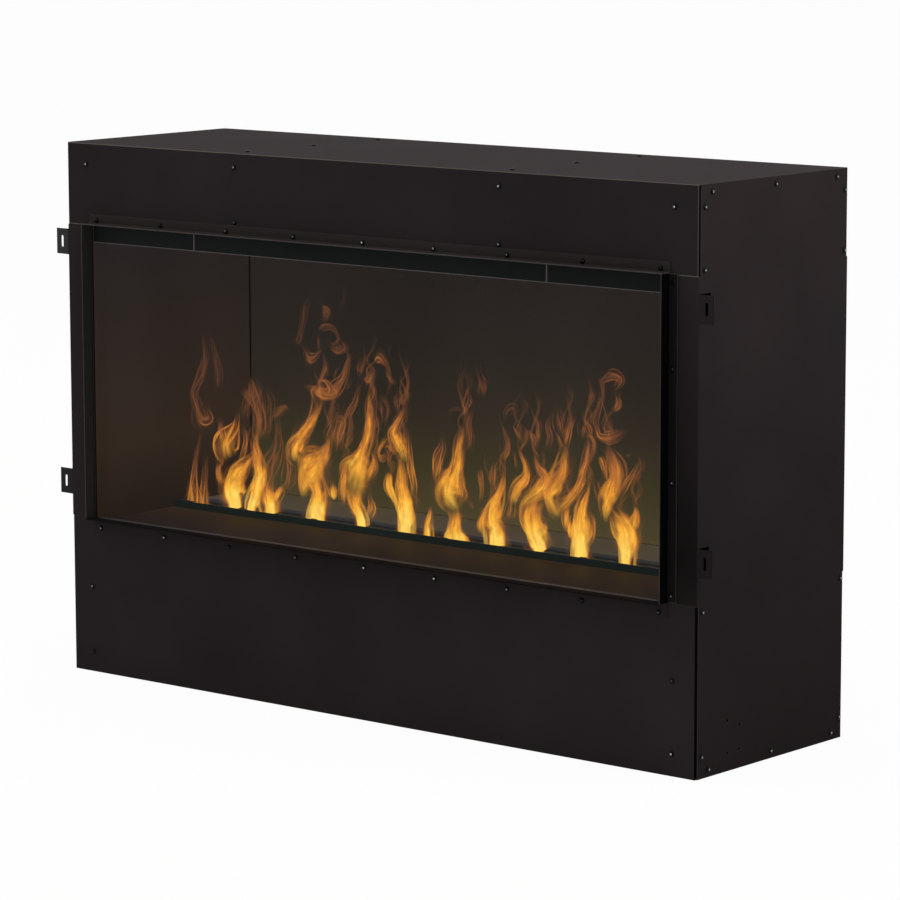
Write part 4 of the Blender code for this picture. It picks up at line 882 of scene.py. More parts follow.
def face_panel(name, rear, low, high, width=EDGE_EASE, bend=POWDER_HIGHLIGHT):
    """A front or rear panel above or below the opening, with side returns."""
    y, inward = (BACK, -1) if rear else (FRONT, 1)
    end = y + inward * RETURN_DEPTH
    path = [(-INSIDE, end), (-INSIDE, y), (INSIDE, y), (INSIDE, end)]
    # Eased edges get a painted highlight, the returns' faces deep in the joints painted shade, and the side
    # bends the finish given: a painted highlight on most panels, painted shade on the lower front panel
    finishes = (POWDER, RIM_HIGHLIGHT if width > EDGE_EASE else POWDER_HIGHLIGHT, JOINT_SHADE, bend)
    made = sheet(name, bent(path[::inward], "Z", low, high), finishes, width=width)
    repaint(made, 3, lambda face: abs(face.normal.x) > BENT_AWAY and abs(face.normal.z) < UPRIGHT)
    repaint(made, 2, lambda face: abs(face.normal.x) > SQUARE_ON)


def make_casing():
    plate("top_panel", True)
    plate("bottom_panel", False)
    side_panel("left_side_panel", -1, (SILL + LEFT_TAB_INSETS[0], HEAD - LEFT_TAB_INSETS[1]))
    side_panel("right_side_panel", 1, (SILL + RIGHT_TAB_INSETS[0], HEAD - RIGHT_TAB_INSETS[1]))
    face_panel("upper_front_panel", False, HEAD, HIGH, HEM_EASE)
    face_panel("lower_front_panel", False, 0, SILL, bend=JOINT_SHADE)
    face_panel("upper_rear_panel", True, HEAD, HIGH)
    face_panel("lower_rear_panel", True, 0, SILL)
    bm = bmesh.new()
    half = OPENING + TRIM_SIDE_FLANGE
    block(bm, (-half, half), (BACK + GAP, BACK + BEHIND), (TRIM_LOW, TRIM_TOP))
    # Painted flame light on its face, and a painted highlight on its eased edges
    sheet("rear_center_panel", bm, (REAR, POWDER_HIGHLIGHT))


def make_trim():
    rim = FRONT - TRIM_REACH
    path = [(rim, OPENING_TOP), (TRIM_SEAT, OPENING_TOP), (TRIM_SEAT, TRIM_TOP)]
    # A painted highlight on the lip's eased edges, taken off the flange above the screws
    made = sheet("trim_top", bent(path, "X", -TRIM_END, TRIM_END), (TRIM, TRIM_HIGHLIGHT))
    repaint(made, 0, lambda face: face.center.z > OPENING_TOP + TRIM_SCREW_UP)
    path = [(TRIM_SEAT, TRIM_LOW), (TRIM_SEAT, OPENING_LOW), (rim, OPENING_LOW)]
    # Painted shade: a darker coat on the lip's upper face, and a near black one on its front edge
    made = sheet("trim_bottom", bent(path, "X", -TRIM_END, TRIM_END), (POWDER, POWDER, LEDGE_SHADE, SHADED))
    repaint(made, 3, lambda face: face.center.y < rim + SHEET)
    repaint(made, 2, lambda face: face.normal.z > SQUARE_ON)
    for name, hand in (("trim_left", -1), ("trim_right", 1)):
        path = [(OPENING + TRIM_SIDE_FLANGE, TRIM_SEAT), (OPENING, TRIM_SEAT), (OPENING, rim)]
        bm = bent(path, "Z", OPENING_LOW + GAP, OPENING_TOP - GAP, hand)
        # Painted shade on the right trim, darker still on its outer faces; painted light on the left trim's
        # inner faces; a painted highlight on the eased edges of both
        made = sheet(name, bm, (LEDGE_SHADE, TRIM_HIGHLIGHT, SHADED) if hand > 0 else (POWDER, TRIM_HIGHLIGHT, INNER_LIGHT))
        repaint(made, 2, lambda face: face.normal.x > SQUARE_ON)


def make_valance():
    for name in ("valance_left", "valance_center", "valance_right"):
        (x0, _, z0), (x1, _, z1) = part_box(name)
        bm = bmesh.new()
        block(bm, (x0, x1), (FRONT + BEHIND, FRONT + BEHIND + SHEET), (z0, z1))
        # A painted highlight on the eased edges
        sheet(name, bm, (VALANCE, VALANCE_HIGHLIGHT), width=RIM_EASE)


# Inner walls, shelf and cassette covers

def inner_wall(hand, face, edge, low, high):
    """A wall with a flange at the front and at the back, both turned the same way."""
    near, far = FRONT + BEHIND, BACK - BEHIND
    return bent([(edge, far), (face, far), (face, near), (edge, near)], "Z", low, high, hand)


def hat(ys, top, drops, half):
    """A sheet across the opening with its edges turned down."""
    near, far = ys
    path = [(far, top), (near, top), (near, top - drops[0])]
    if drops[1]:
        path.insert(0, (far, top - drops[1]))
    return bent(path, "X", -half, half)


def make_inner_walls():
    for name, hand in (("left_liner", -1), ("right_liner", 1)):
        wall = inner_wall(hand, LINER_X, LINER_X + LINER_FLANGE, LINER_LOW, LINER_HIGH)
        sheet(name, wall, (LINER, LINER))
    half = BRACE_FLANGE / 2
    for name, hand in (("left_brace", -1), ("right_brace", 1)):
        face, edge = BRACE_X - half, BRACE_X + half
        bm = inner_wall(hand, face, edge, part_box(name)[0][2], LINER_HIGH)
        flange = bmesh.new()
        xs = (hand * (face + SHEET / 2), hand * edge)
        block(flange, xs, (FRONT + RETURN_DEPTH, BACK - RETURN_DEPTH), (LINER_HIGH - SHEET, LINER_HIGH))
        sheet(name, carved(bm, flange, "UNION"), (ZINC, ZINC))
    bm = hat((CEILING_FRONT, BACK - BEHIND), CEILING_TOP, (GUIDE_DROP, 0), ACROSS)
    sheet("ceiling_liner", bm, (LINER, LINER))
    bm = hat((FRONT + BEHIND, SHELF_BACK), SHELF_TOP, (SHELF_FRONT_DROP, SHELF_REAR_DROP), ACROSS)
    sheet("front_shelf", bm, (SHELF, SHELF))


def relieved(bm, top):
    """Stops a cover's drops short of the housing's end walls."""
    reach = SHEET + BEND + 2 * GAP
    zs = (COVER_TOP - COVER_DROP - OVERRUN, top - SHEET / 2)
    tools = bmesh.new()
    for hand in HANDS:
        xs = (hand * (HOUSING_HALF - SHEET - GAP), hand * (COVER_HALF + OVERRUN))
        block(tools, xs, (COVER_BACK - reach, COVER_BACK + reach), zs)
    return carved(bm, tools)


def make_covers():
    bm = hat((COVER_FRONT, COVER_BACK), COVER_TOP, (COVER_DROP, COVER_DROP), COVER_HALF)
    tools = bmesh.new()
    low = MIST_SLOT_END - HOUSING_HALF
    length = (-2 * low - (MIST_SLOT_COUNT - 1) * MIST_SLOT_BRIDGE) / MIST_SLOT_COUNT
    for k in range(MIST_SLOT_COUNT):
        x = low + k * (length + MIST_SLOT_BRIDGE)
        ys = (MIST_SLOT_FRONT, MIST_SLOT_FRONT + MIST_SLOT_WIDTH)
        block(tools, (x, x + length), ys, (COVER_TOP - SHEET - OVERRUN, COVER_TOP + OVERRUN))
    sheet("mist_outlet", relieved(carved(bm, tools), COVER_TOP), (OUTLET, OUTLET), "cassette")
    bm = hat((DECK_FRONT, DECK_BACK), DECK_TOP, (DECK_DROP, 0), COVER_HALF)
    # Painted flame light on the deck's upper face, and a painted highlight on its eased edges
    sheet("rear_deck", relieved(bm, DECK_TOP), (DECK, TRIM_HIGHLIGHT), "cassette")


# Screws

def screw_head():
    """One pan head, seat at zero and crown up Z, with a cross recess."""
    bm = bmesh.new()
    rings = []
    for out, up in HEAD_PROFILE:
        outline = circle((0, 0), HEAD_RADIUS * out, HEAD_SIDES)
        rings.append([bm.verts.new((x, y, HEAD_RISE * up)) for x, y in outline])
    for above, below in zip(rings, rings[1:]):
        for k in range(HEAD_SIDES):
            bm.faces.new((above[k - 1], above[k], below[k], below[k - 1]))
    bm.faces.new(rings[0])
    bm.faces.new(rings[-1][::-1])
    cross = bmesh.new()
    long, thin = RECESS_LENGTH / 2, RECESS_WIDTH / 2
    outline = [(thin, thin), (long, thin), (long, -thin), (thin, -thin)]
    outline += [(thin, -long), (-thin, -long), (-thin, -thin)]
    outline += [(-long, -thin), (-long, thin), (-thin, thin), (-thin, long), (thin, long)]
    prism(cross, outline, "Z", HEAD_RISE - RECESS_DEPTH, HEAD_RISE + OVERRUN)
    bm = carved(bm, cross)
    for face in bm.faces:
        middle = face.calc_center_median()
        in_recess = middle.xy.length < RECESS_LENGTH / 2 and middle.z < HEAD_RISE * RECESS_SHARE
        if in_recess and face.normal.z > HEAD_UNDERSIDE:
            face.material_index = 1
    return bm


def screws(name, outward, spots):
    """Screw heads that face one way. Each spot is on the surface under the head."""
    one = screw_head()
    mesh = bpy.data.meshes.new("head")
    one.to_mesh(mesh)
    one.free()
    aim = Vector(outward).to_track_quat("Z", "Y").to_matrix().to_4x4()
    bm = bmesh.new()
    for k, spot in enumerate(spots):
        known = len(bm.verts)
        bm.from_mesh(mesh)
        bm.verts.ensure_lookup_table()
        turn = Matrix.Rotation(k * HEAD_TURN, 4, "Z")
        lift = Matrix.Translation((0, 0, GAP))
        moved = Matrix.Translation(spot) @ aim @ lift @ turn
        bmesh.ops.transform(bm, matrix=moved, verts=bm.verts[known:])
    piece(name, bm, (SCREW, STEEL), "firebox")


def row(count, pitch, y, z):
    return [(k * pitch, y, z) for k in range(-count, count + 1)]


def make_screws():
    low_rows = [LINER_SCREW_END, SILL - LINER_SCREW_UNDER_SILL]
    stile_rows = [OPENING_LOW + STILE_SCREW_INSETS[0], OPENING_TOP - STILE_SCREW_INSETS[1]]
    stile_rows += [OPENING_LOW + share * (OPENING_TOP - OPENING_LOW) for share in STILE_SCREW_SHARES]
    flat_rows = low_rows + [HIGH - LINER_SCREW_END]
    brace_rows = (HEAD + BRACE_SCREW_INSETS[0], HIGH - BRACE_SCREW_INSETS[1])
    front = row(TRIM_COUNT_EACH_WAY, TRIM_PITCH, TRIM_FACE, UPPER_ROW_Z)
    front += row(TRIM_COUNT_EACH_WAY, TRIM_PITCH, TRIM_FACE, LOWER_ROW_Z)
    rear_count, rear_face = TRIM_COUNT_EACH_WAY // 2, BACK + BEHIND
    rear = row(rear_count, 2 * TRIM_PITCH, rear_face, UPPER_ROW_Z)
    rear += row(rear_count, 2 * TRIM_PITCH, rear_face, LOWER_ROW_Z)
    for hand in HANDS:
        x = hand * LINER_SCREW_X
        front += [(x, TRIM_FACE, z) for z in stile_rows] + [(x, FRONT, z) for z in flat_rows]
        rear += [(x, rear_face, z) for z in stile_rows] + [(x, BACK, z) for z in flat_rows]
        front += [(hand * BRACE_X, FRONT, z) for z in brace_rows]
        rear += [(hand * BRACE_X, BACK, z) for z in brace_rows]
    screws("front_screws", FORWARD, front)
    screws("rear_screws", BACKWARD, rear)
    screws("top_screws", UPWARD, [(hand * BRACE_X, y, HIGH) for hand in HANDS for y in DEPTHS])
    plate_rows = (PLATE_SCREW_DROP, HIGH - PLATE_SCREW_DROP)
    edge_rows = (PANEL_END_SCREW, SILL - PANEL_SEAM_SCREW, HEAD + PANEL_SEAM_SCREW, HIGH - PANEL_END_SCREW)
    edge_depths = (FRONT + SIDE_SCREW_FRONT, BACK - SIDE_SCREW_REAR)
    for name, hand in (("left_side_screws", -1), ("right_side_screws", 1)):
        spots = [(hand * SIDE, y, z) for y in DEPTHS for z in plate_rows]
        spots += [(hand * SIDE, y, z) for y in edge_depths for z in edge_rows]
        screws(name, (hand, 0, 0), spots)


# Flames. Each strand has its heat at the foot and at the tip, how dense it is, and its spine, read
# from the photograph: how far across and down its picture a place is, and the strand's width, in pixels.

FLAMES = {
    "far left": [
        (0.62, 0.3, 0.75, [(195, 500, 14), (194, 482, 9), (196, 462, 4), (200, 438, 2)]),
        (0.6, 0.28, 0.65, [(203, 500, 11), (204, 482, 7), (205, 464, 3)]),
    ],
    "far left wisp": [
        (0.42, 0.22, 0.6, [
            (210, 428, 5), (203, 420, 14), (199, 406, 9), (196, 392, 8), (203, 374, 9), (208, 352, 5),
            (203, 330, 2),
        ]),
        (0.42, 0.2, 0.5, [(217, 390, 3), (218, 380, 6), (217, 364, 7), (212, 344, 4), (210, 336, 2)]),
    ],
    "second": [
        (1, 0.6, 1, [
            (236, 505, 18), (233, 492, 24), (236, 480, 22), (243, 469, 14), (251, 459, 8), (256, 449, 3),
        ]),
        (0.7, 0.45, 0.8, [(223, 484, 7), (220, 472, 6), (221, 461, 4)]),
        (0.84, 0.6, 0.78, [
            (230, 460, 11), (227, 452, 19), (227, 443, 21), (231, 434, 16), (235, 425, 9), (237, 415, 3),
        ]),
        (0.72, 0.5, 0.75, [(223, 442, 8), (222, 432, 6), (221, 424, 2)]),
        (0.66, 0.4, 0.75, [(240, 464, 5), (245, 450, 5), (247, 438, 5), (244, 428, 3)]),
        (0.36, 0.2, 0.5, [(244, 424, 4), (246, 410, 9), (250, 396, 8), (252, 382, 4)]),
    ],
    "third": [
        (0.98, 0.55, 1, [
            (253, 508, 11), (258, 492, 14), (261, 474, 14), (260, 458, 12), (257, 444, 8), (258, 430, 5),
        ]),
        (0.5, 0.25, 0.6, [(258, 442, 8), (262, 424, 10), (259, 404, 13), (254, 386, 8), (250, 378, 3)]),
        (0.4, 0.22, 0.5, [(266, 440, 4), (268, 424, 8), (270, 404, 9), (265, 388, 5)]),
        (0.42, 0.25, 0.45, [(274, 418, 3), (280, 412, 5), (284, 408, 3)]),
    ],
    "fourth": [
        (0.96, 0.62, 1, [(271, 510, 18), (269, 500, 21), (267, 490, 15), (269, 480, 8)]),
        (0.8, 0.55, 0.85, [(274, 502, 8), (280, 492, 9), (283, 486, 3)]),
        (0.52, 0.22, 0.45, [(268, 492, 14), (272, 470, 17), (279, 446, 11), (279, 424, 6), (278, 402, 3)]),
        (0.52, 0.34, 0.6, [(283, 492, 4), (288, 480, 12), (288, 464, 11), (284, 448, 4)]),
    ],
    "fifth": [
        (1, 0.8, 1, [(319, 518, 19), (319, 504, 19), (319, 490, 18), (316, 478, 22)]),
        (0.82, 0.62, 0.92, [
            (306, 500, 9), (304, 488, 12), (309, 476, 26), (317, 464, 30), (325, 454, 15), (329, 444, 7),
            (330, 432, 2),
        ]),
        (0.6, 0.45, 0.6, [(301, 496, 3), (301, 482, 6), (303, 470, 6)]),
        (0.84, 0.55, 0.95, [
            (303, 462, 9), (297, 455, 14), (298, 446, 15), (305, 434, 12), (313, 421, 10),
            (319, 409, 11), (323, 397, 15),
        ]),
        (0.62, 0.34, 0.7, [(324, 402, 10), (323, 392, 28), (322, 386, 16), (316, 384, 5)]),
        (0.46, 0.3, 0.6, [(336, 452, 6), (341, 436, 9), (342, 424, 8), (338, 412, 4)]),
        (0.44, 0.24, 0.6, [(333, 404, 6), (340, 390, 8), (346, 376, 6), (350, 362, 4), (349, 350, 2)]),
        (0.4, 0.24, 0.55, [(312, 366, 5), (308, 358, 7), (303, 348, 3)]),
        (0.38, 0.22, 0.55, [(318, 332, 4), (325, 327, 7), (333, 328, 6), (338, 338, 4), (336, 352, 3)]),
        (0.36, 0.22, 0.5, [(323, 322, 4), (328, 314, 7), (324, 306, 3)]),
        (0.3, 0.18, 0.4, [(338, 314, 3), (343, 298, 4), (344, 284, 2)]),
    ],
    "bead": [
        (0.92, 0.8, 0.85, [(335, 500, 4), (335, 492, 9), (334, 484, 4)]),
    ],
    "sixth": [
        (0.98, 0.8, 1, [(363, 524, 14), (359, 512, 13), (355, 501, 17), (356, 488, 24)]),
        (0.86, 0.58, 0.95, [
            (352, 500, 14), (354, 486, 26), (357, 472, 30), (360, 460, 20), (364, 446, 11),
            (368, 430, 10), (369, 412, 9), (368, 398, 5), (369, 388, 2),
        ]),
        (0.74, 0.5, 0.8, [(346, 506, 4), (345, 492, 8), (346, 476, 8), (348, 464, 4), (349, 457, 2)]),
        (0.72, 0.5, 0.8, [(366, 484, 6), (372, 470, 10), (374, 460, 6), (371, 450, 2)]),
        (0.76, 0.55, 0.7, [(368, 518, 8), (372, 508, 9), (370, 498, 4)]),
        (0.36, 0.22, 0.55, [(361, 378, 4), (363, 366, 6), (366, 356, 2)]),
        (0.38, 0.22, 0.5, [(374, 366, 4), (379, 355, 7), (386, 366, 6), (389, 380, 5), (386, 394, 3)]),
        (0.44, 0.28, 0.5, [(374, 446, 4), (376, 428, 8), (374, 412, 5)]),
    ],
    "seventh": [
        (1, 0.7, 1, [
            (406, 529, 17), (407, 516, 19), (406, 502, 19), (404, 488, 14), (403, 472, 12),
            (403, 458, 11),
        ]),
        (0.84, 0.5, 0.95, [
            (404, 466, 10), (402, 452, 13), (397, 442, 17), (393, 433, 14), (396, 424, 8), (401, 414, 5),
            (404, 406, 2),
        ]),
        (0.66, 0.42, 0.75, [(391, 436, 6), (384, 443, 4), (380, 452, 4), (383, 460, 4), (390, 455, 2)]),
        (0.72, 0.45, 0.75, [(413, 500, 7), (414, 484, 8), (411, 466, 7), (409, 448, 4), (409, 436, 2)]),
        (0.9, 0.78, 0.9, [(398, 510, 3), (393, 498, 6), (389, 487, 10), (389, 477, 7), (390, 473, 3)]),
        (0.38, 0.24, 0.5, [(398, 402, 5), (403, 396, 7), (402, 388, 3)]),
        (0.34, 0.2, 0.45, [(378, 430, 4), (373, 418, 6), (374, 402, 4), (371, 388, 2)]),
    ],
    "eighth": [
        (0.82, 0.5, 0.85, [(428, 533, 11), (428, 524, 9), (430, 514, 5), (430, 507, 2)]),
    ],
    "ninth": [
        (0.9, 0.8, 0.95, [(457, 537, 27), (457, 530, 17), (458, 520, 12), (457, 510, 13)]),
        (0.94, 0.62, 1, [
            (456, 514, 10), (452, 504, 18), (448, 494, 27), (450, 484, 29), (454, 473, 19),
            (457, 461, 12), (458, 447, 9), (461, 434, 8), (464, 423, 3),
        ]),
        (0.7, 0.45, 0.75, [(462, 504, 5), (465, 494, 7), (462, 484, 5), (463, 466, 3), (465, 444, 2)]),
        (0.66, 0.42, 0.75, [(437, 484, 4), (438, 470, 10), (440, 458, 11), (443, 448, 7), (443, 439, 2)]),
        (0.5, 0.36, 0.6, [(432, 464, 3), (435, 452, 4), (440, 444, 2)]),
        (0.42, 0.26, 0.5, [(449, 417, 2), (453, 410, 4), (461, 409, 4), (468, 412, 3)]),
        (0.52, 0.36, 0.55, [(468, 498, 3), (472, 506, 5), (474, 511, 2)]),
        (0.28, 0.18, 0.35, [(462, 400, 4), (460, 386, 6), (462, 372, 3)]),
    ],
    "tenth": [
        (0.96, 0.6, 1, [
            (498, 541, 20), (497, 528, 20), (495, 516, 19), (498, 504, 17), (502, 492, 10),
            (505, 480, 5), (506, 466, 2),
        ]),
        (0.74, 0.5, 0.8, [(485, 535, 4), (480, 527, 8), (483, 517, 9), (490, 506, 9), (496, 496, 5)]),
        (0.6, 0.4, 0.65, [(480, 502, 3), (482, 490, 4), (481, 476, 6), (480, 470, 2)]),
        (0.58, 0.38, 0.6, [(494, 488, 4), (495, 474, 7), (496, 465, 3)]),
        (0.62, 0.42, 0.65, [(507, 520, 8), (510, 506, 7), (509, 494, 3)]),
        (0.34, 0.2, 0.4, [(479, 398, 6), (483, 384, 9), (480, 372, 5)]),
    ],
    "eleventh": [
        (0.98, 0.72, 1, [(542, 548, 22), (537, 536, 21), (534, 522, 25), (535, 508, 24), (540, 496, 15)]),
        (0.84, 0.55, 0.9, [
            (513, 506, 6), (513, 498, 10), (518, 488, 12), (525, 478, 11), (525, 467, 7), (520, 455, 4),
            (517, 445, 2),
        ]),
        (0.8, 0.5, 0.85, [
            (519, 504, 6), (532, 497, 13), (543, 488, 17), (547, 478, 13), (541, 468, 8), (537, 459, 4),
            (536, 452, 2),
        ]),
        (0.6, 0.42, 0.65, [(514, 520, 3), (516, 512, 5), (520, 506, 4)]),
        (0.32, 0.2, 0.45, [(504, 422, 3), (506, 411, 5), (513, 407, 6), (518, 414, 5)]),
        (0.4, 0.24, 0.45, [(528, 430, 3), (532, 438, 5), (535, 448, 2)]),
    ],
    "twelfth": [
        (0.84, 0.6, 0.92, [
            (560, 520, 7), (553, 508, 15), (549, 494, 17), (553, 484, 22), (561, 473, 17),
            (564, 458, 12), (565, 444, 9),
        ]),
        (0.62, 0.36, 0.75, [(566, 448, 6), (569, 436, 6), (571, 428, 4), (574, 421, 2)]),
        (0.58, 0.34, 0.7, [(563, 450, 5), (560, 438, 4), (556, 430, 2)]),
        (0.34, 0.2, 0.4, [(558, 428, 5), (560, 418, 6), (559, 410, 2)]),
    ],
    "thirteenth": [
        (1, 0.7, 1, [
            (581, 554, 17), (581, 542, 20), (581, 530, 23), (582, 516, 17), (585, 503, 11),
            (589, 491, 6), (591, 480, 3),
        ]),
        (0.7, 0.5, 0.75, [(588, 546, 5), (592, 534, 9), (593, 522, 8), (590, 512, 3)]),
        (0.76, 0.55, 0.8, [(573, 536, 6), (567, 524, 9), (566, 512, 8), (568, 504, 4)]),
        (0.74, 0.42, 0.82, [
            (557, 516, 5), (562, 507, 11), (572, 498, 10), (581, 484, 9), (586, 468, 8), (589, 452, 7),
            (590, 442, 5), (588, 436, 2),
        ]),
        (0.6, 0.4, 0.7, [(582, 440, 4), (584, 428, 5), (587, 436, 3)]),
    ],
    "fourteenth": [
        (1, 0.82, 1, [(626, 560, 18), (627, 548, 20), (627, 534, 24), (621, 522, 21), (614, 510, 15)]),
        (0.86, 0.5, 0.95, [
            (608, 524, 4), (607, 513, 9), (609, 502, 16), (613, 490, 19), (616, 478, 15), (615, 464, 12),
            (611, 453, 9), (608, 445, 3),
        ]),
        (0.8, 0.58, 0.85, [(631, 534, 10), (634, 522, 12), (635, 512, 6), (634, 506, 2)]),
        (0.6, 0.38, 0.7, [(620, 496, 7), (627, 484, 8), (633, 475, 5), (638, 465, 2)]),
        (0.52, 0.34, 0.55, [(599, 502, 4), (596, 490, 4), (595, 480, 2)]),
        (0.46, 0.28, 0.62, [(597, 434, 4), (605, 439, 9), (614, 437, 9), (623, 432, 5)]),
        (0.42, 0.24, 0.58, [(598, 432, 4), (596, 420, 7), (600, 408, 6), (603, 396, 5), (602, 384, 3)]),
        (0.4, 0.26, 0.6, [(599, 382, 4), (604, 380, 6), (610, 377, 9), (617, 379, 6), (619, 385, 3)]),
        (0.42, 0.26, 0.58, [(613, 412, 3), (618, 406, 6), (618, 397, 4)]),
    ],
    "smoke and curls": [
        (0.42, 0.36, 0.65, [(203, 331, 2), (206, 352, 3), (206, 365, 3), (202, 376, 2)]),
        (0.5, 0.46, 0.65, [(197, 409, 5), (202, 421, 9), (210, 419, 7), (207, 409, 4)]),
        (0.38, 0.36, 0.5, [(242, 388, 6), (248, 398, 9), (253, 407, 6)]),
        (0.44, 0.38, 0.6, [(252, 378, 4), (253, 393, 8), (254, 405, 4)]),
        (0.44, 0.38, 0.6, [(269, 419, 5), (278, 412, 6), (284, 408, 5), (287, 410, 3)]),
        (0.42, 0.4, 0.6, [(278, 419, 2), (278, 429, 2), (284, 441, 2)]),
        (0.34, 0.28, 0.4, [(295, 334, 6), (299, 342, 6), (303, 325, 5), (306, 308, 6), (310, 300, 5)]),
        (0.46, 0.4, 0.65, [(304, 352, 4), (309, 359, 7), (315, 356, 4), (319, 351, 2)]),
        (0.4, 0.36, 0.55, [(324, 312, 6), (328, 311, 7), (331, 315, 5)]),
        (0.44, 0.44, 0.7, [(329, 341, 2), (334, 344, 3), (338, 339, 3), (339, 331, 2)]),
        (0.4, 0.36, 0.55, [(328, 345, 4), (336, 352, 6), (344, 348, 6), (341, 342, 4)]),
        (0.44, 0.48, 0.55, [(320, 334, 2), (320, 344, 3), (321, 350, 2)]),
        (0.5, 0.46, 0.7, [
            (302, 386, 3), (314, 389, 7), (324, 395, 12), (335, 392, 9), (342, 384, 5),
        ]),
        (0.38, 0.36, 0.5, [(334, 382, 2), (336, 372, 3), (341, 366, 2)]),
        (0.48, 0.4, 0.65, [(330, 400, 7), (333, 390, 8), (344, 377, 5), (348, 363, 3), (351, 356, 2)]),
        (0.4, 0.38, 0.55, [(344, 390, 4), (348, 384, 4), (346, 377, 2)]),
        (0.42, 0.4, 0.6, [(356, 363, 3), (361, 370, 4), (366, 361, 3), (367, 356, 2)]),
        (0.48, 0.46, 0.65, [(364, 376, 5), (368, 381, 6), (371, 376, 4)]),
        (0.44, 0.44, 0.55, [(371, 383, 3), (373, 393, 5), (369, 401, 6)]),
        (0.5, 0.46, 0.7, [(387, 370, 4), (393, 380, 5), (399, 384, 3)]),
        (0.54, 0.5, 0.7, [(375, 363, 4), (378, 359, 6), (382, 363, 4)]),
        (0.46, 0.4, 0.6, [(401, 393, 4), (403, 404, 5), (408, 394, 3)]),
        (0.4, 0.4, 0.5, [(396, 394, 5), (398, 402, 6), (399, 410, 4)]),
        (0.36, 0.34, 0.4, [(377, 395, 10), (384, 408, 14), (383, 422, 8)]),
        (0.36, 0.36, 0.55, [(461, 391, 2), (463, 404, 3), (467, 413, 2)]),
        (0.36, 0.32, 0.45, [(480, 379, 5), (484, 388, 6), (484, 394, 3)]),
        (0.3, 0.26, 0.4, [(464, 371, 4), (466, 377, 5), (468, 382, 3)]),
        (0.3, 0.3, 0.45, [(391, 344, 2), (391, 350, 3), (391, 356, 2)]),
        (0.46, 0.5, 0.6, [(336, 420, 8), (343, 422, 8), (339, 435, 7), (337, 447, 4)]),
        (0.62, 0.6, 0.75, [(383, 449, 2), (387, 446, 3), (389, 451, 3), (386, 456, 2)]),
        (0.58, 0.56, 0.65, [(378, 455, 4), (384, 456, 4), (390, 452, 2)]),
        (0.36, 0.34, 0.5, [(537, 417, 3), (541, 424, 4), (541, 430, 2)]),
        (0.44, 0.42, 0.6, [(528, 429, 2), (533, 439, 6), (534, 447, 3)]),
        (0.36, 0.32, 0.5, [(563, 436, 6), (561, 424, 10), (559, 413, 8)]),
        (0.62, 0.6, 0.78, [
            (584, 439, 3), (589, 436, 4), (593, 443, 5), (591, 453, 4), (589, 462, 3),
        ]),
        (0.34, 0.36, 0.5, [(579, 420, 2), (579, 429, 3), (579, 437, 2)]),
        (0.5, 0.46, 0.7, [(599, 379, 5), (603, 384, 5), (604, 396, 4), (600, 404, 3), (601, 411, 3)]),
        (0.44, 0.42, 0.62, [(606, 378, 6), (613, 375, 8), (620, 380, 8), (614, 388, 7)]),
        (0.5, 0.44, 0.65, [(615, 412, 4), (620, 404, 6), (619, 398, 3)]),
        (0.52, 0.42, 0.7, [
            (596, 420, 5), (597, 430, 6), (600, 437, 7), (610, 439, 7), (617, 436, 6), (624, 433, 3),
        ]),
        (0.4, 0.42, 0.5, [(609, 411, 4), (604, 419, 5), (611, 430, 5), (614, 439, 5)]),
        (0.66, 0.6, 0.75, [(601, 456, 5), (604, 463, 6), (606, 473, 4)]),
        (0.54, 0.54, 0.65, [(596, 479, 2), (600, 491, 4), (603, 496, 3)]),
        (0.46, 0.4, 0.5, [(626, 456, 3), (629, 455, 4), (632, 455, 2)]),
        (0.64, 0.46, 0.75, [(619, 489, 12), (620, 478, 18), (617, 465, 18), (612, 452, 12)]),
        (0.42, 0.42, 0.5, [(493, 471, 4), (496, 469, 5), (499, 474, 4)]),
        (0.5, 0.4, 0.55, [(505, 479, 3), (506, 457, 2), (504, 436, 2)]),
        (0.56, 0.46, 0.65, [(517, 469, 4), (516, 459, 3), (513, 449, 2)]),
        (0.5, 0.34, 0.55, [(330, 448, 9), (333, 436, 10), (337, 424, 9), (338, 410, 6)]),
        (0.52, 0.36, 0.6, [(344, 430, 7), (350, 414, 8), (357, 402, 6), (360, 388, 3)]),
        (0.46, 0.34, 0.5, [(289, 470, 6), (292, 452, 8), (296, 436, 6), (297, 424, 3)]),
        (0.48, 0.34, 0.5, [(395, 436, 6), (397, 424, 7), (402, 414, 5), (404, 406, 3)]),
        (0.5, 0.36, 0.55, [(469, 452, 7), (472, 438, 7), (470, 424, 5), (474, 412, 3)]),
        (0.46, 0.34, 0.5, [(545, 452, 6), (549, 438, 7), (547, 426, 5), (551, 416, 3)]),
    ],
}

# How the strands are drawn: places in metres, turns in radians, the rest as shares
FLAME_Y = MIST_SLOT_FRONT + MIST_SLOT_WIDTH / 2
STRAND_STEPS = 5
STRAND_LEAST = 0.002
STRAND_SIDES = 8
STRAND_OUT = 1.35
STRAND_BULGE = 0.22
STRAND_BULGE_MOST = 0.003
STRAND_SPREAD = 0.003
STRAND_TURN = 2.3
STRAND_FOOT = 0.006
RIBBON_LEAST = 0.001
BASE_HEIGHT = 0.007
FADE_SHARE = 0.40
TIP_SHARE = 0.72
BODY_SHIFT = 0.37
WISP_UNDER = 0.8
WISP_BODY = 0.50

# The halo round each strand
HALO_WIDTH = 1.6
HALO_SHARE = 0.28
HALO_HEATS = (0.5, 0.6)
HALO_SHIFT = 0.21

# The ribbons across the slot
CROSS_SHARE = 0.45
CROSS_REACH = 0.008
CROSS_DENSITY = 0.6
CROSS_SHIFT = 0.41

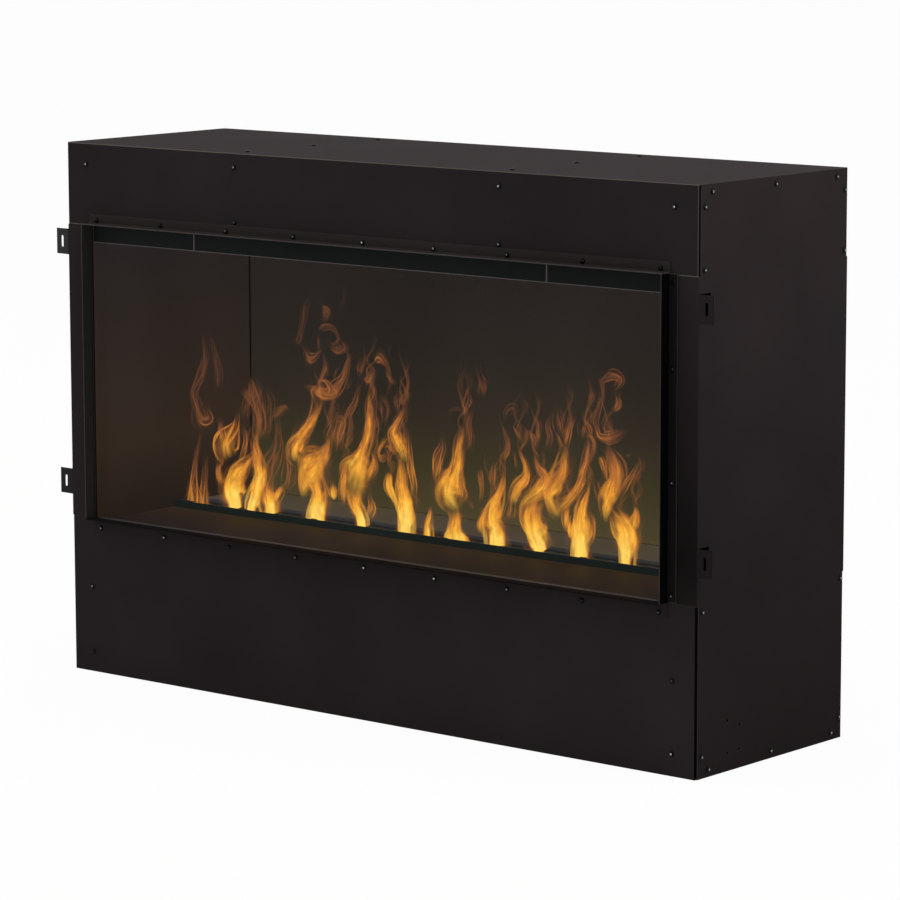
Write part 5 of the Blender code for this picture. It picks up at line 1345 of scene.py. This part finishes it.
# Threads: where they start across a strand, and how wide and dense they are
FLAME_THREADS = (-0.72, -0.30, 0.15, 0.62)
FLAME_THREAD_WIDTH = 0.30
FLAME_THREAD_SHARE = 0.40
WISP_THREADS = (-0.9, -0.5, -0.1, 0.3, 0.7)
WISP_THREAD_WIDTH = 0.18
WISP_THREAD_SHARE = 1.0
THREAD_FROM = 0.010
THREAD_LEAST = 0.002
THREAD_PHASES = (1.7, 2.1)
THREAD_HEATS = (0.95, 0.9)
THREAD_TINT = 0.06
THREAD_TINT_TURN = 1.3
THREAD_WANDER = 0.1
THREAD_SHIFT = 0.09
THREAD_STEP = 0.0006
THREAD_MIDDLE = 2
THREAD_SWAY = 0.30
THREAD_WAVES = 60.0
THREAD_BEYOND = 3
THREAD_THINNING = 0.75

# Curls of smoke
CURL_FROM = 0.060
CURL_COUNT = 4
CURL_POINTS = 7
CURL_PHASES = (2.9, 1.9)
CURL_ROOTS = 3
CURL_ROOT_STEP = 3
CURL_RISE = 0.011
CURL_RISE_CHANGE = 0.35
CURL_RISE_TURN = 1.7
CURL_SWAY = 0.007
CURL_SWAY_FIRST = 0.6
CURL_TURN = 1.1
CURL_TURN_CHANGE = 0.2
CURL_WIDTH = 0.011
CURL_WIDTH_SHARES = (0.6, 0.5)
CURL_LEAST = 0.003
CURL_HEATS = (0.46, 0.28)
CURL_DENSITY = 0.42
CURL_SHIFTS = (0.53, 0.17)


def on_slot(across, down):
    """Where a pixel of the photograph meets the upright plane along the middle of the slot."""
    pixel = SENSOR_MM / PICTURE
    ray = camera_turn() @ Vector(((across - PICTURE / 2) * pixel, (PICTURE / 2 - down) * pixel, -LENS_MM))
    start = Vector(CAMERA_PLACE)
    return start + ray * ((FLAME_Y - start.y) / ray.y)


def spine_point(across, down, width):
    """A place on a spine: across the slot, above the slot, and how wide the strand is there, in metres."""
    here, beside = on_slot(across, down), on_slot(across + width, down)
    return Vector((here.x, here.z - COVER_TOP, max(beside.x - here.x, STRAND_LEAST)))


def curve_points(spine):
    """A smooth line through a strand's points: place across, height above the slot and width, in metres."""
    rows = [spine[0] * 2 - spine[1]] + spine + [spine[-1] * 2 - spine[-2]]
    result = []
    for a, b, c, d in zip(rows, rows[1:], rows[2:], rows[3:]):
        for k in range(STRAND_STEPS):
            t = k / STRAND_STEPS
            bend = (2 * a - 5 * b + 4 * c - d) * t + (3 * b - 3 * c + d - a) * t * t
            result.append(b + 0.5 * t * (c - a + bend))
    result.append(rows[-2])
    return result


def travelled(line, start):
    """Each place on a line with the way it runs there and how far it has come."""
    travel = start
    for k, here in enumerate(line):
        before, after = line[max(k - 1, 0)], line[min(k + 1, len(line) - 1)]
        travel += (here - before).xy.length
        yield here, (after - before).xy.normalized(), travel


def thread_of(line, share, thick, phase):
    """A thin line that runs along a strand at one side of it, sways, and goes on past its tip."""
    result = []
    step = (line[-1] - line[-2]).xy.length
    for here, way, travel in travelled(line, 0.0):
        sway = THREAD_SWAY * math.sin(travel * THREAD_WAVES + phase)
        out = (share + sway) * here.z / 2
        result.append(Vector((here.x + way.y * out, here.y - way.x * out, max(here.z * thick, THREAD_LEAST))))
    for k in range(1, THREAD_BEYOND + 1):
        last = result[-1]
        ahead = way * step * 2
        lean = Vector((way.y, -way.x)) * step * math.sin(phase + k)
        beyond = last.xy + ahead + lean
        result.append(Vector((*beyond, last.z * THREAD_THINNING)))
    return result


def ribbon(bm, layers, line, heats, density, depth, shift, crossing=False):
    """One ribbon of vapour along a line. A crossing one stands across the slot, for views from the sides."""
    flow, warmth, veil = layers
    from_slot = line[0].y < BASE_HEIGHT
    rows = []
    for k, (here, way, travel) in enumerate(travelled(line, shift)):
        share = k / (len(line) - 1)
        half = max(here.z, RIBBON_LEAST) / 2
        height = here.y - (STRAND_FOOT if from_slot and k == 0 else 0)
        begin_share = 1.0 if from_slot else min(1.0, share / FADE_SHARE)
        fade = begin_share * min(1.0, (1 - share) / FADE_SHARE)
        rising = fade * fade * (3 - 2 * fade)
        ring = []
        for j in range(STRAND_SIDES + 1):
            u = STRAND_OUT * (2 * j / STRAND_SIDES - 1)
            if crossing:
                reach = min(half * 2 * CROSS_SHARE, CROSS_REACH)
                place = (here.x, FLAME_Y + depth + u * reach, COVER_TOP + height)
            else:
                bulge = min(STRAND_BULGE * half * 2, STRAND_BULGE_MOST) * (1 - u * u)
                x, z = here.x + way.y * u * half, height - way.x * u * half
                place = (x, FLAME_Y + depth - bulge, COVER_TOP + z)
            vert = bm.verts.new(place)
            vert[warmth] = heats[0] + (heats[1] * TIP_SHARE - heats[0]) * share
            vert[veil] = density * rising
            ring.append((vert, (u, travel)))
        rows.append(ring)
    for low, high in zip(rows, rows[1:]):
        for j in range(STRAND_SIDES):
            corners = (low[j], low[j + 1], high[j + 1], high[j])
            face = bm.faces.new([corner[0] for corner in corners])
            for loop, corner in zip(face.loops, corners):
                loop[flow].uv = corner[1]


def flame_piece(name, fill):
    bm = bmesh.new()
    flow = bm.loops.layers.uv.new("flow")
    bm.verts.layers.float.new("warmth")
    bm.verts.layers.float.new("veil")
    layers = (flow, bm.verts.layers.float["warmth"], bm.verts.layers.float["veil"])
    strokes = [stroke for group in FLAMES.values() for stroke in group]
    for index, (foot, tip, density, pixels) in enumerate(strokes):
        line = curve_points([spine_point(*pixel) for pixel in pixels])
        fill(bm, layers, index, (foot, tip), density, line, STRAND_SPREAD * math.sin(index * STRAND_TURN))
    made = linked(name, bm, [VAPOUR])
    made.data.shade_smooth()
    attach(made, "cassette")
    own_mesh(made)


def fill_bodies(bm, layers, index, heats, density, line, depth):
    """The ribbon that fills each strand."""
    if density < WISP_UNDER:
        density *= WISP_BODY
    ribbon(bm, layers, line, heats, density, depth, index * BODY_SHIFT)


def fill_halos(bm, layers, index, heats, density, line, depth):
    """A wider and cooler ribbon round each strand."""
    wide = [Vector((point.x, point.y, point.z * HALO_WIDTH)) for point in line]
    halo_heats = [heat * share for heat, share in zip(heats, HALO_HEATS)]
    ribbon(bm, layers, wide, halo_heats, density * HALO_SHARE, depth, index * HALO_SHIFT)


def fill_threads(bm, layers, index, heats, density, line, depth):
    """Threads along each wide strand. A wisp has more of them, and thinner ones."""
    if max(point.z for point in line) < THREAD_FROM:
        return
    wisp = density < WISP_UNDER
    thick = WISP_THREAD_WIDTH if wisp else FLAME_THREAD_WIDTH
    dense = density * (WISP_THREAD_SHARE if wisp else FLAME_THREAD_SHARE)
    for k, share in enumerate(WISP_THREADS if wisp else FLAME_THREADS):
        phase = index * THREAD_PHASES[0] + k * THREAD_PHASES[1]
        thread = thread_of(line, share + THREAD_WANDER * math.sin(phase), thick, phase)
        tint = THREAD_TINT * math.sin(phase * THREAD_TINT_TURN)
        thread_heats = [heat * part + tint for heat, part in zip(heats, THREAD_HEATS)]
        thread_depth = depth + (k - THREAD_MIDDLE) * THREAD_STEP
        ribbon(bm, layers, thread, thread_heats, dense, thread_depth, index * BODY_SHIFT + k * THREAD_SHIFT)


def fill_curls(bm, layers, index, heats, density, line, depth):
    """Thin smoke that curls up from where a flame ends."""
    if density < WISP_UNDER or line[-1].y < CURL_FROM:
        return
    for k in range(CURL_COUNT):
        phase = index * CURL_PHASES[0] + k * CURL_PHASES[1]
        root = line[-1 - CURL_ROOT_STEP * (k % CURL_ROOTS)]
        rise = CURL_RISE * (1 + CURL_RISE_CHANGE * math.sin(phase * CURL_RISE_TURN))
        turn = CURL_TURN + CURL_TURN_CHANGE * math.sin(phase)
        curl = []
        for n in range(CURL_POINTS):
            sway = CURL_SWAY * (CURL_SWAY_FIRST + n / (CURL_POINTS - 1)) * math.sin(phase + n * turn)
            width = CURL_WIDTH * (CURL_WIDTH_SHARES[0] + CURL_WIDTH_SHARES[1] * math.sin(phase + n))
            curl.append(Vector((root.x + sway, root.y + n * rise, max(width, CURL_LEAST))))
        shift = index * CURL_SHIFTS[0] + k * CURL_SHIFTS[1]
        ribbon(bm, layers, curve_points(curl), CURL_HEATS, CURL_DENSITY, depth, shift)


def fill_crossings(bm, layers, index, heats, density, line, depth):
    """A ribbon across the slot in each full flame."""
    if density >= WISP_UNDER:
        ribbon(bm, layers, line, heats, density * CROSS_DENSITY, depth, index * CROSS_SHIFT, True)


def make_flames():
    flame_piece("flame_bodies", fill_bodies)
    flame_piece("flame_halos", fill_halos)
    flame_piece("flame_threads", fill_threads)
    flame_piece("flame_curls", fill_curls)
    flame_piece("flame_crossings", fill_crossings)


# Finishes of the CAD nodes that stay

CASE_NODES = ("cassette_housing", "mist_duct", "control_box", "control_panel", "power_switch", "cable_gland")
FAN_NODES = [f"{side}_fan_{part}" for side in ("left", "right") for part in ("housing", "impeller")]
WATER_NODES = ("water_sump", "sump_lid", "float_stem", "float_ring", "inlet_valve")
PALE_NODES = ("terminal_block", "mode_button", "flame_button")
FINISHES = (
    (GLASS, ("glass_pane",)),
    (CHANNEL, ("glass_channel",)),
    (ZINC, ("terminal_box", "power_supply")),
    (BLACK_PLASTIC, (*CASE_NODES, *FAN_NODES)),
    (GREY_PLASTIC, (*WATER_NODES, *PALE_NODES)),
    (RUBBER, [f"cassette_foot_{k}" for k in range(1, 5)]),
    (BRASS, [f"transducer_{k}" for k in range(1, 5)]),
    (ANODISED, ("led_light_bar",)),
    (LENS, ("led_lens",)),
    (BOARD, ("control_board",)),
)


def finish_nodes():
    for finish, names in FINISHES:
        for name in names:
            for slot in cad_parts[name].material_slots:
                slot.material = finish


# Stage, lights and camera

FLOOR_HALF = 60.0
FLOOR_SHINE = 0.96
ROOM_LOW = (0.42, 0.41, 0.41)
ROOM_HIGH = (0.75, 0.74, 0.73)
WHITE = coloured((1, 1, 1))

# Each light's place, what it points at, its size, its power in watts and its colour
LIGHTS = {
    "overhead": ((-2.4, -0.6, 3.4), (0, 0, 0.5), (2.6, 2.0), 45, (1.0, 0.95, 0.90)),
    "right_fill": ((1.7, 0.2, 1.7), (SIDE, 0, HIGH * 0.8), (0.9, 0.9), 12, (1.0, 0.97, 0.93)),
}


def seen_ray(tree):
    """One for rays that carry a sight of the background: straight, mirrored and through glass."""
    path = node(tree, "ShaderNodeLightPath")
    shiny = math_node(tree, "MAXIMUM", path.outputs["Is Glossy Ray"], path.outputs["Is Transmission Ray"])
    return math_node(tree, "MAXIMUM", path.outputs["Is Camera Ray"], shiny)


def studio_world():
    """White to the eye and in reflections. What lights the object is a dimmer room, paler overhead."""
    world = bpy.data.worlds.new("studio")
    world.use_nodes = True
    tree = world.node_tree
    up = along(tree, node(tree, "ShaderNodeTexCoord").outputs["Generated"], "Z")
    room = ramp(tree, span(tree, up, -0.2, 1.0), [(0.0, ROOM_LOW), (1.0, ROOM_HIGH)])
    background = tree.nodes["Background"]
    set_inputs(tree, background, {"Color": blend(tree, seen_ray(tree), room, WHITE), "Strength": 1.0})
    scene.world = world


def floor_paper():
    """White paper. To the eye it is mostly white by itself, so that only soft shadows show on it."""
    made, tree, shader, place = begin("floor_paper")
    tree.nodes.remove(shader)
    tone = mottled(tree, noise(tree, place, 60.0), (0.78, 0.78, 0.78), (0.82, 0.82, 0.82))
    paper = node(tree, "ShaderNodeBsdfDiffuse", {"Color": tone}).outputs[0]
    white = node(tree, "ShaderNodeEmission", {"Color": WHITE, "Strength": 1.0}).outputs[0]
    show(tree, times(tree, seen_ray(tree), FLOOR_SHINE), paper, white)
    return made


def make_floor():
    bm = bmesh.new()
    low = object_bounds()[0][2]
    corners = ((-1, -1), (1, -1), (1, 1), (-1, 1))
    bm.faces.new([bm.verts.new((x * FLOOR_HALF, y * FLOOR_HALF, low)) for x, y in corners])
    made = linked("floor", bm, [floor_paper()])


def soft_light(name, place, aim, size, power, colour):
    data = bpy.data.lights.new(name, "AREA")
    data.shape = "RECTANGLE"
    data.size, data.size_y = size
    data.energy = power
    data.color = colour
    made = bpy.data.objects.new(name, data)
    made.location = place
    made.rotation_euler = (Vector(aim) - Vector(place)).to_track_quat("-Z", "Y").to_euler()
    scene.collection.objects.link(made)


def make_lights():
    for name, settings in LIGHTS.items():
        soft_light(name, *settings)


def camera_turn():
    yaw, pitch, roll = (math.radians(angle) for angle in CAMERA_TURN)
    level = Matrix.Rotation(math.pi / 2 + pitch, 4, "X")
    return Matrix.Rotation(yaw, 4, "Z") @ level @ Matrix.Rotation(roll, 4, "Z")


def make_camera():
    data = bpy.data.cameras.new("camera")
    data.lens = LENS_MM
    data.sensor_width = SENSOR_MM
    data.sensor_fit = "HORIZONTAL"
    data.clip_end = CAMERA_REACH
    made = bpy.data.objects.new("camera", data)
    made.matrix_world = Matrix.Translation(CAMERA_PLACE) @ camera_turn()
    scene.collection.objects.link(made)
    scene.camera = made


make_camera()
studio_world()
make_floor()
make_lights()
make_casing()
make_trim()
make_valance()
make_inner_walls()
make_covers()
make_screws()
make_flames()
finish_nodes()
scene.view_settings.view_transform = "Standard"
scene.cycles.transparent_max_bounces = 24
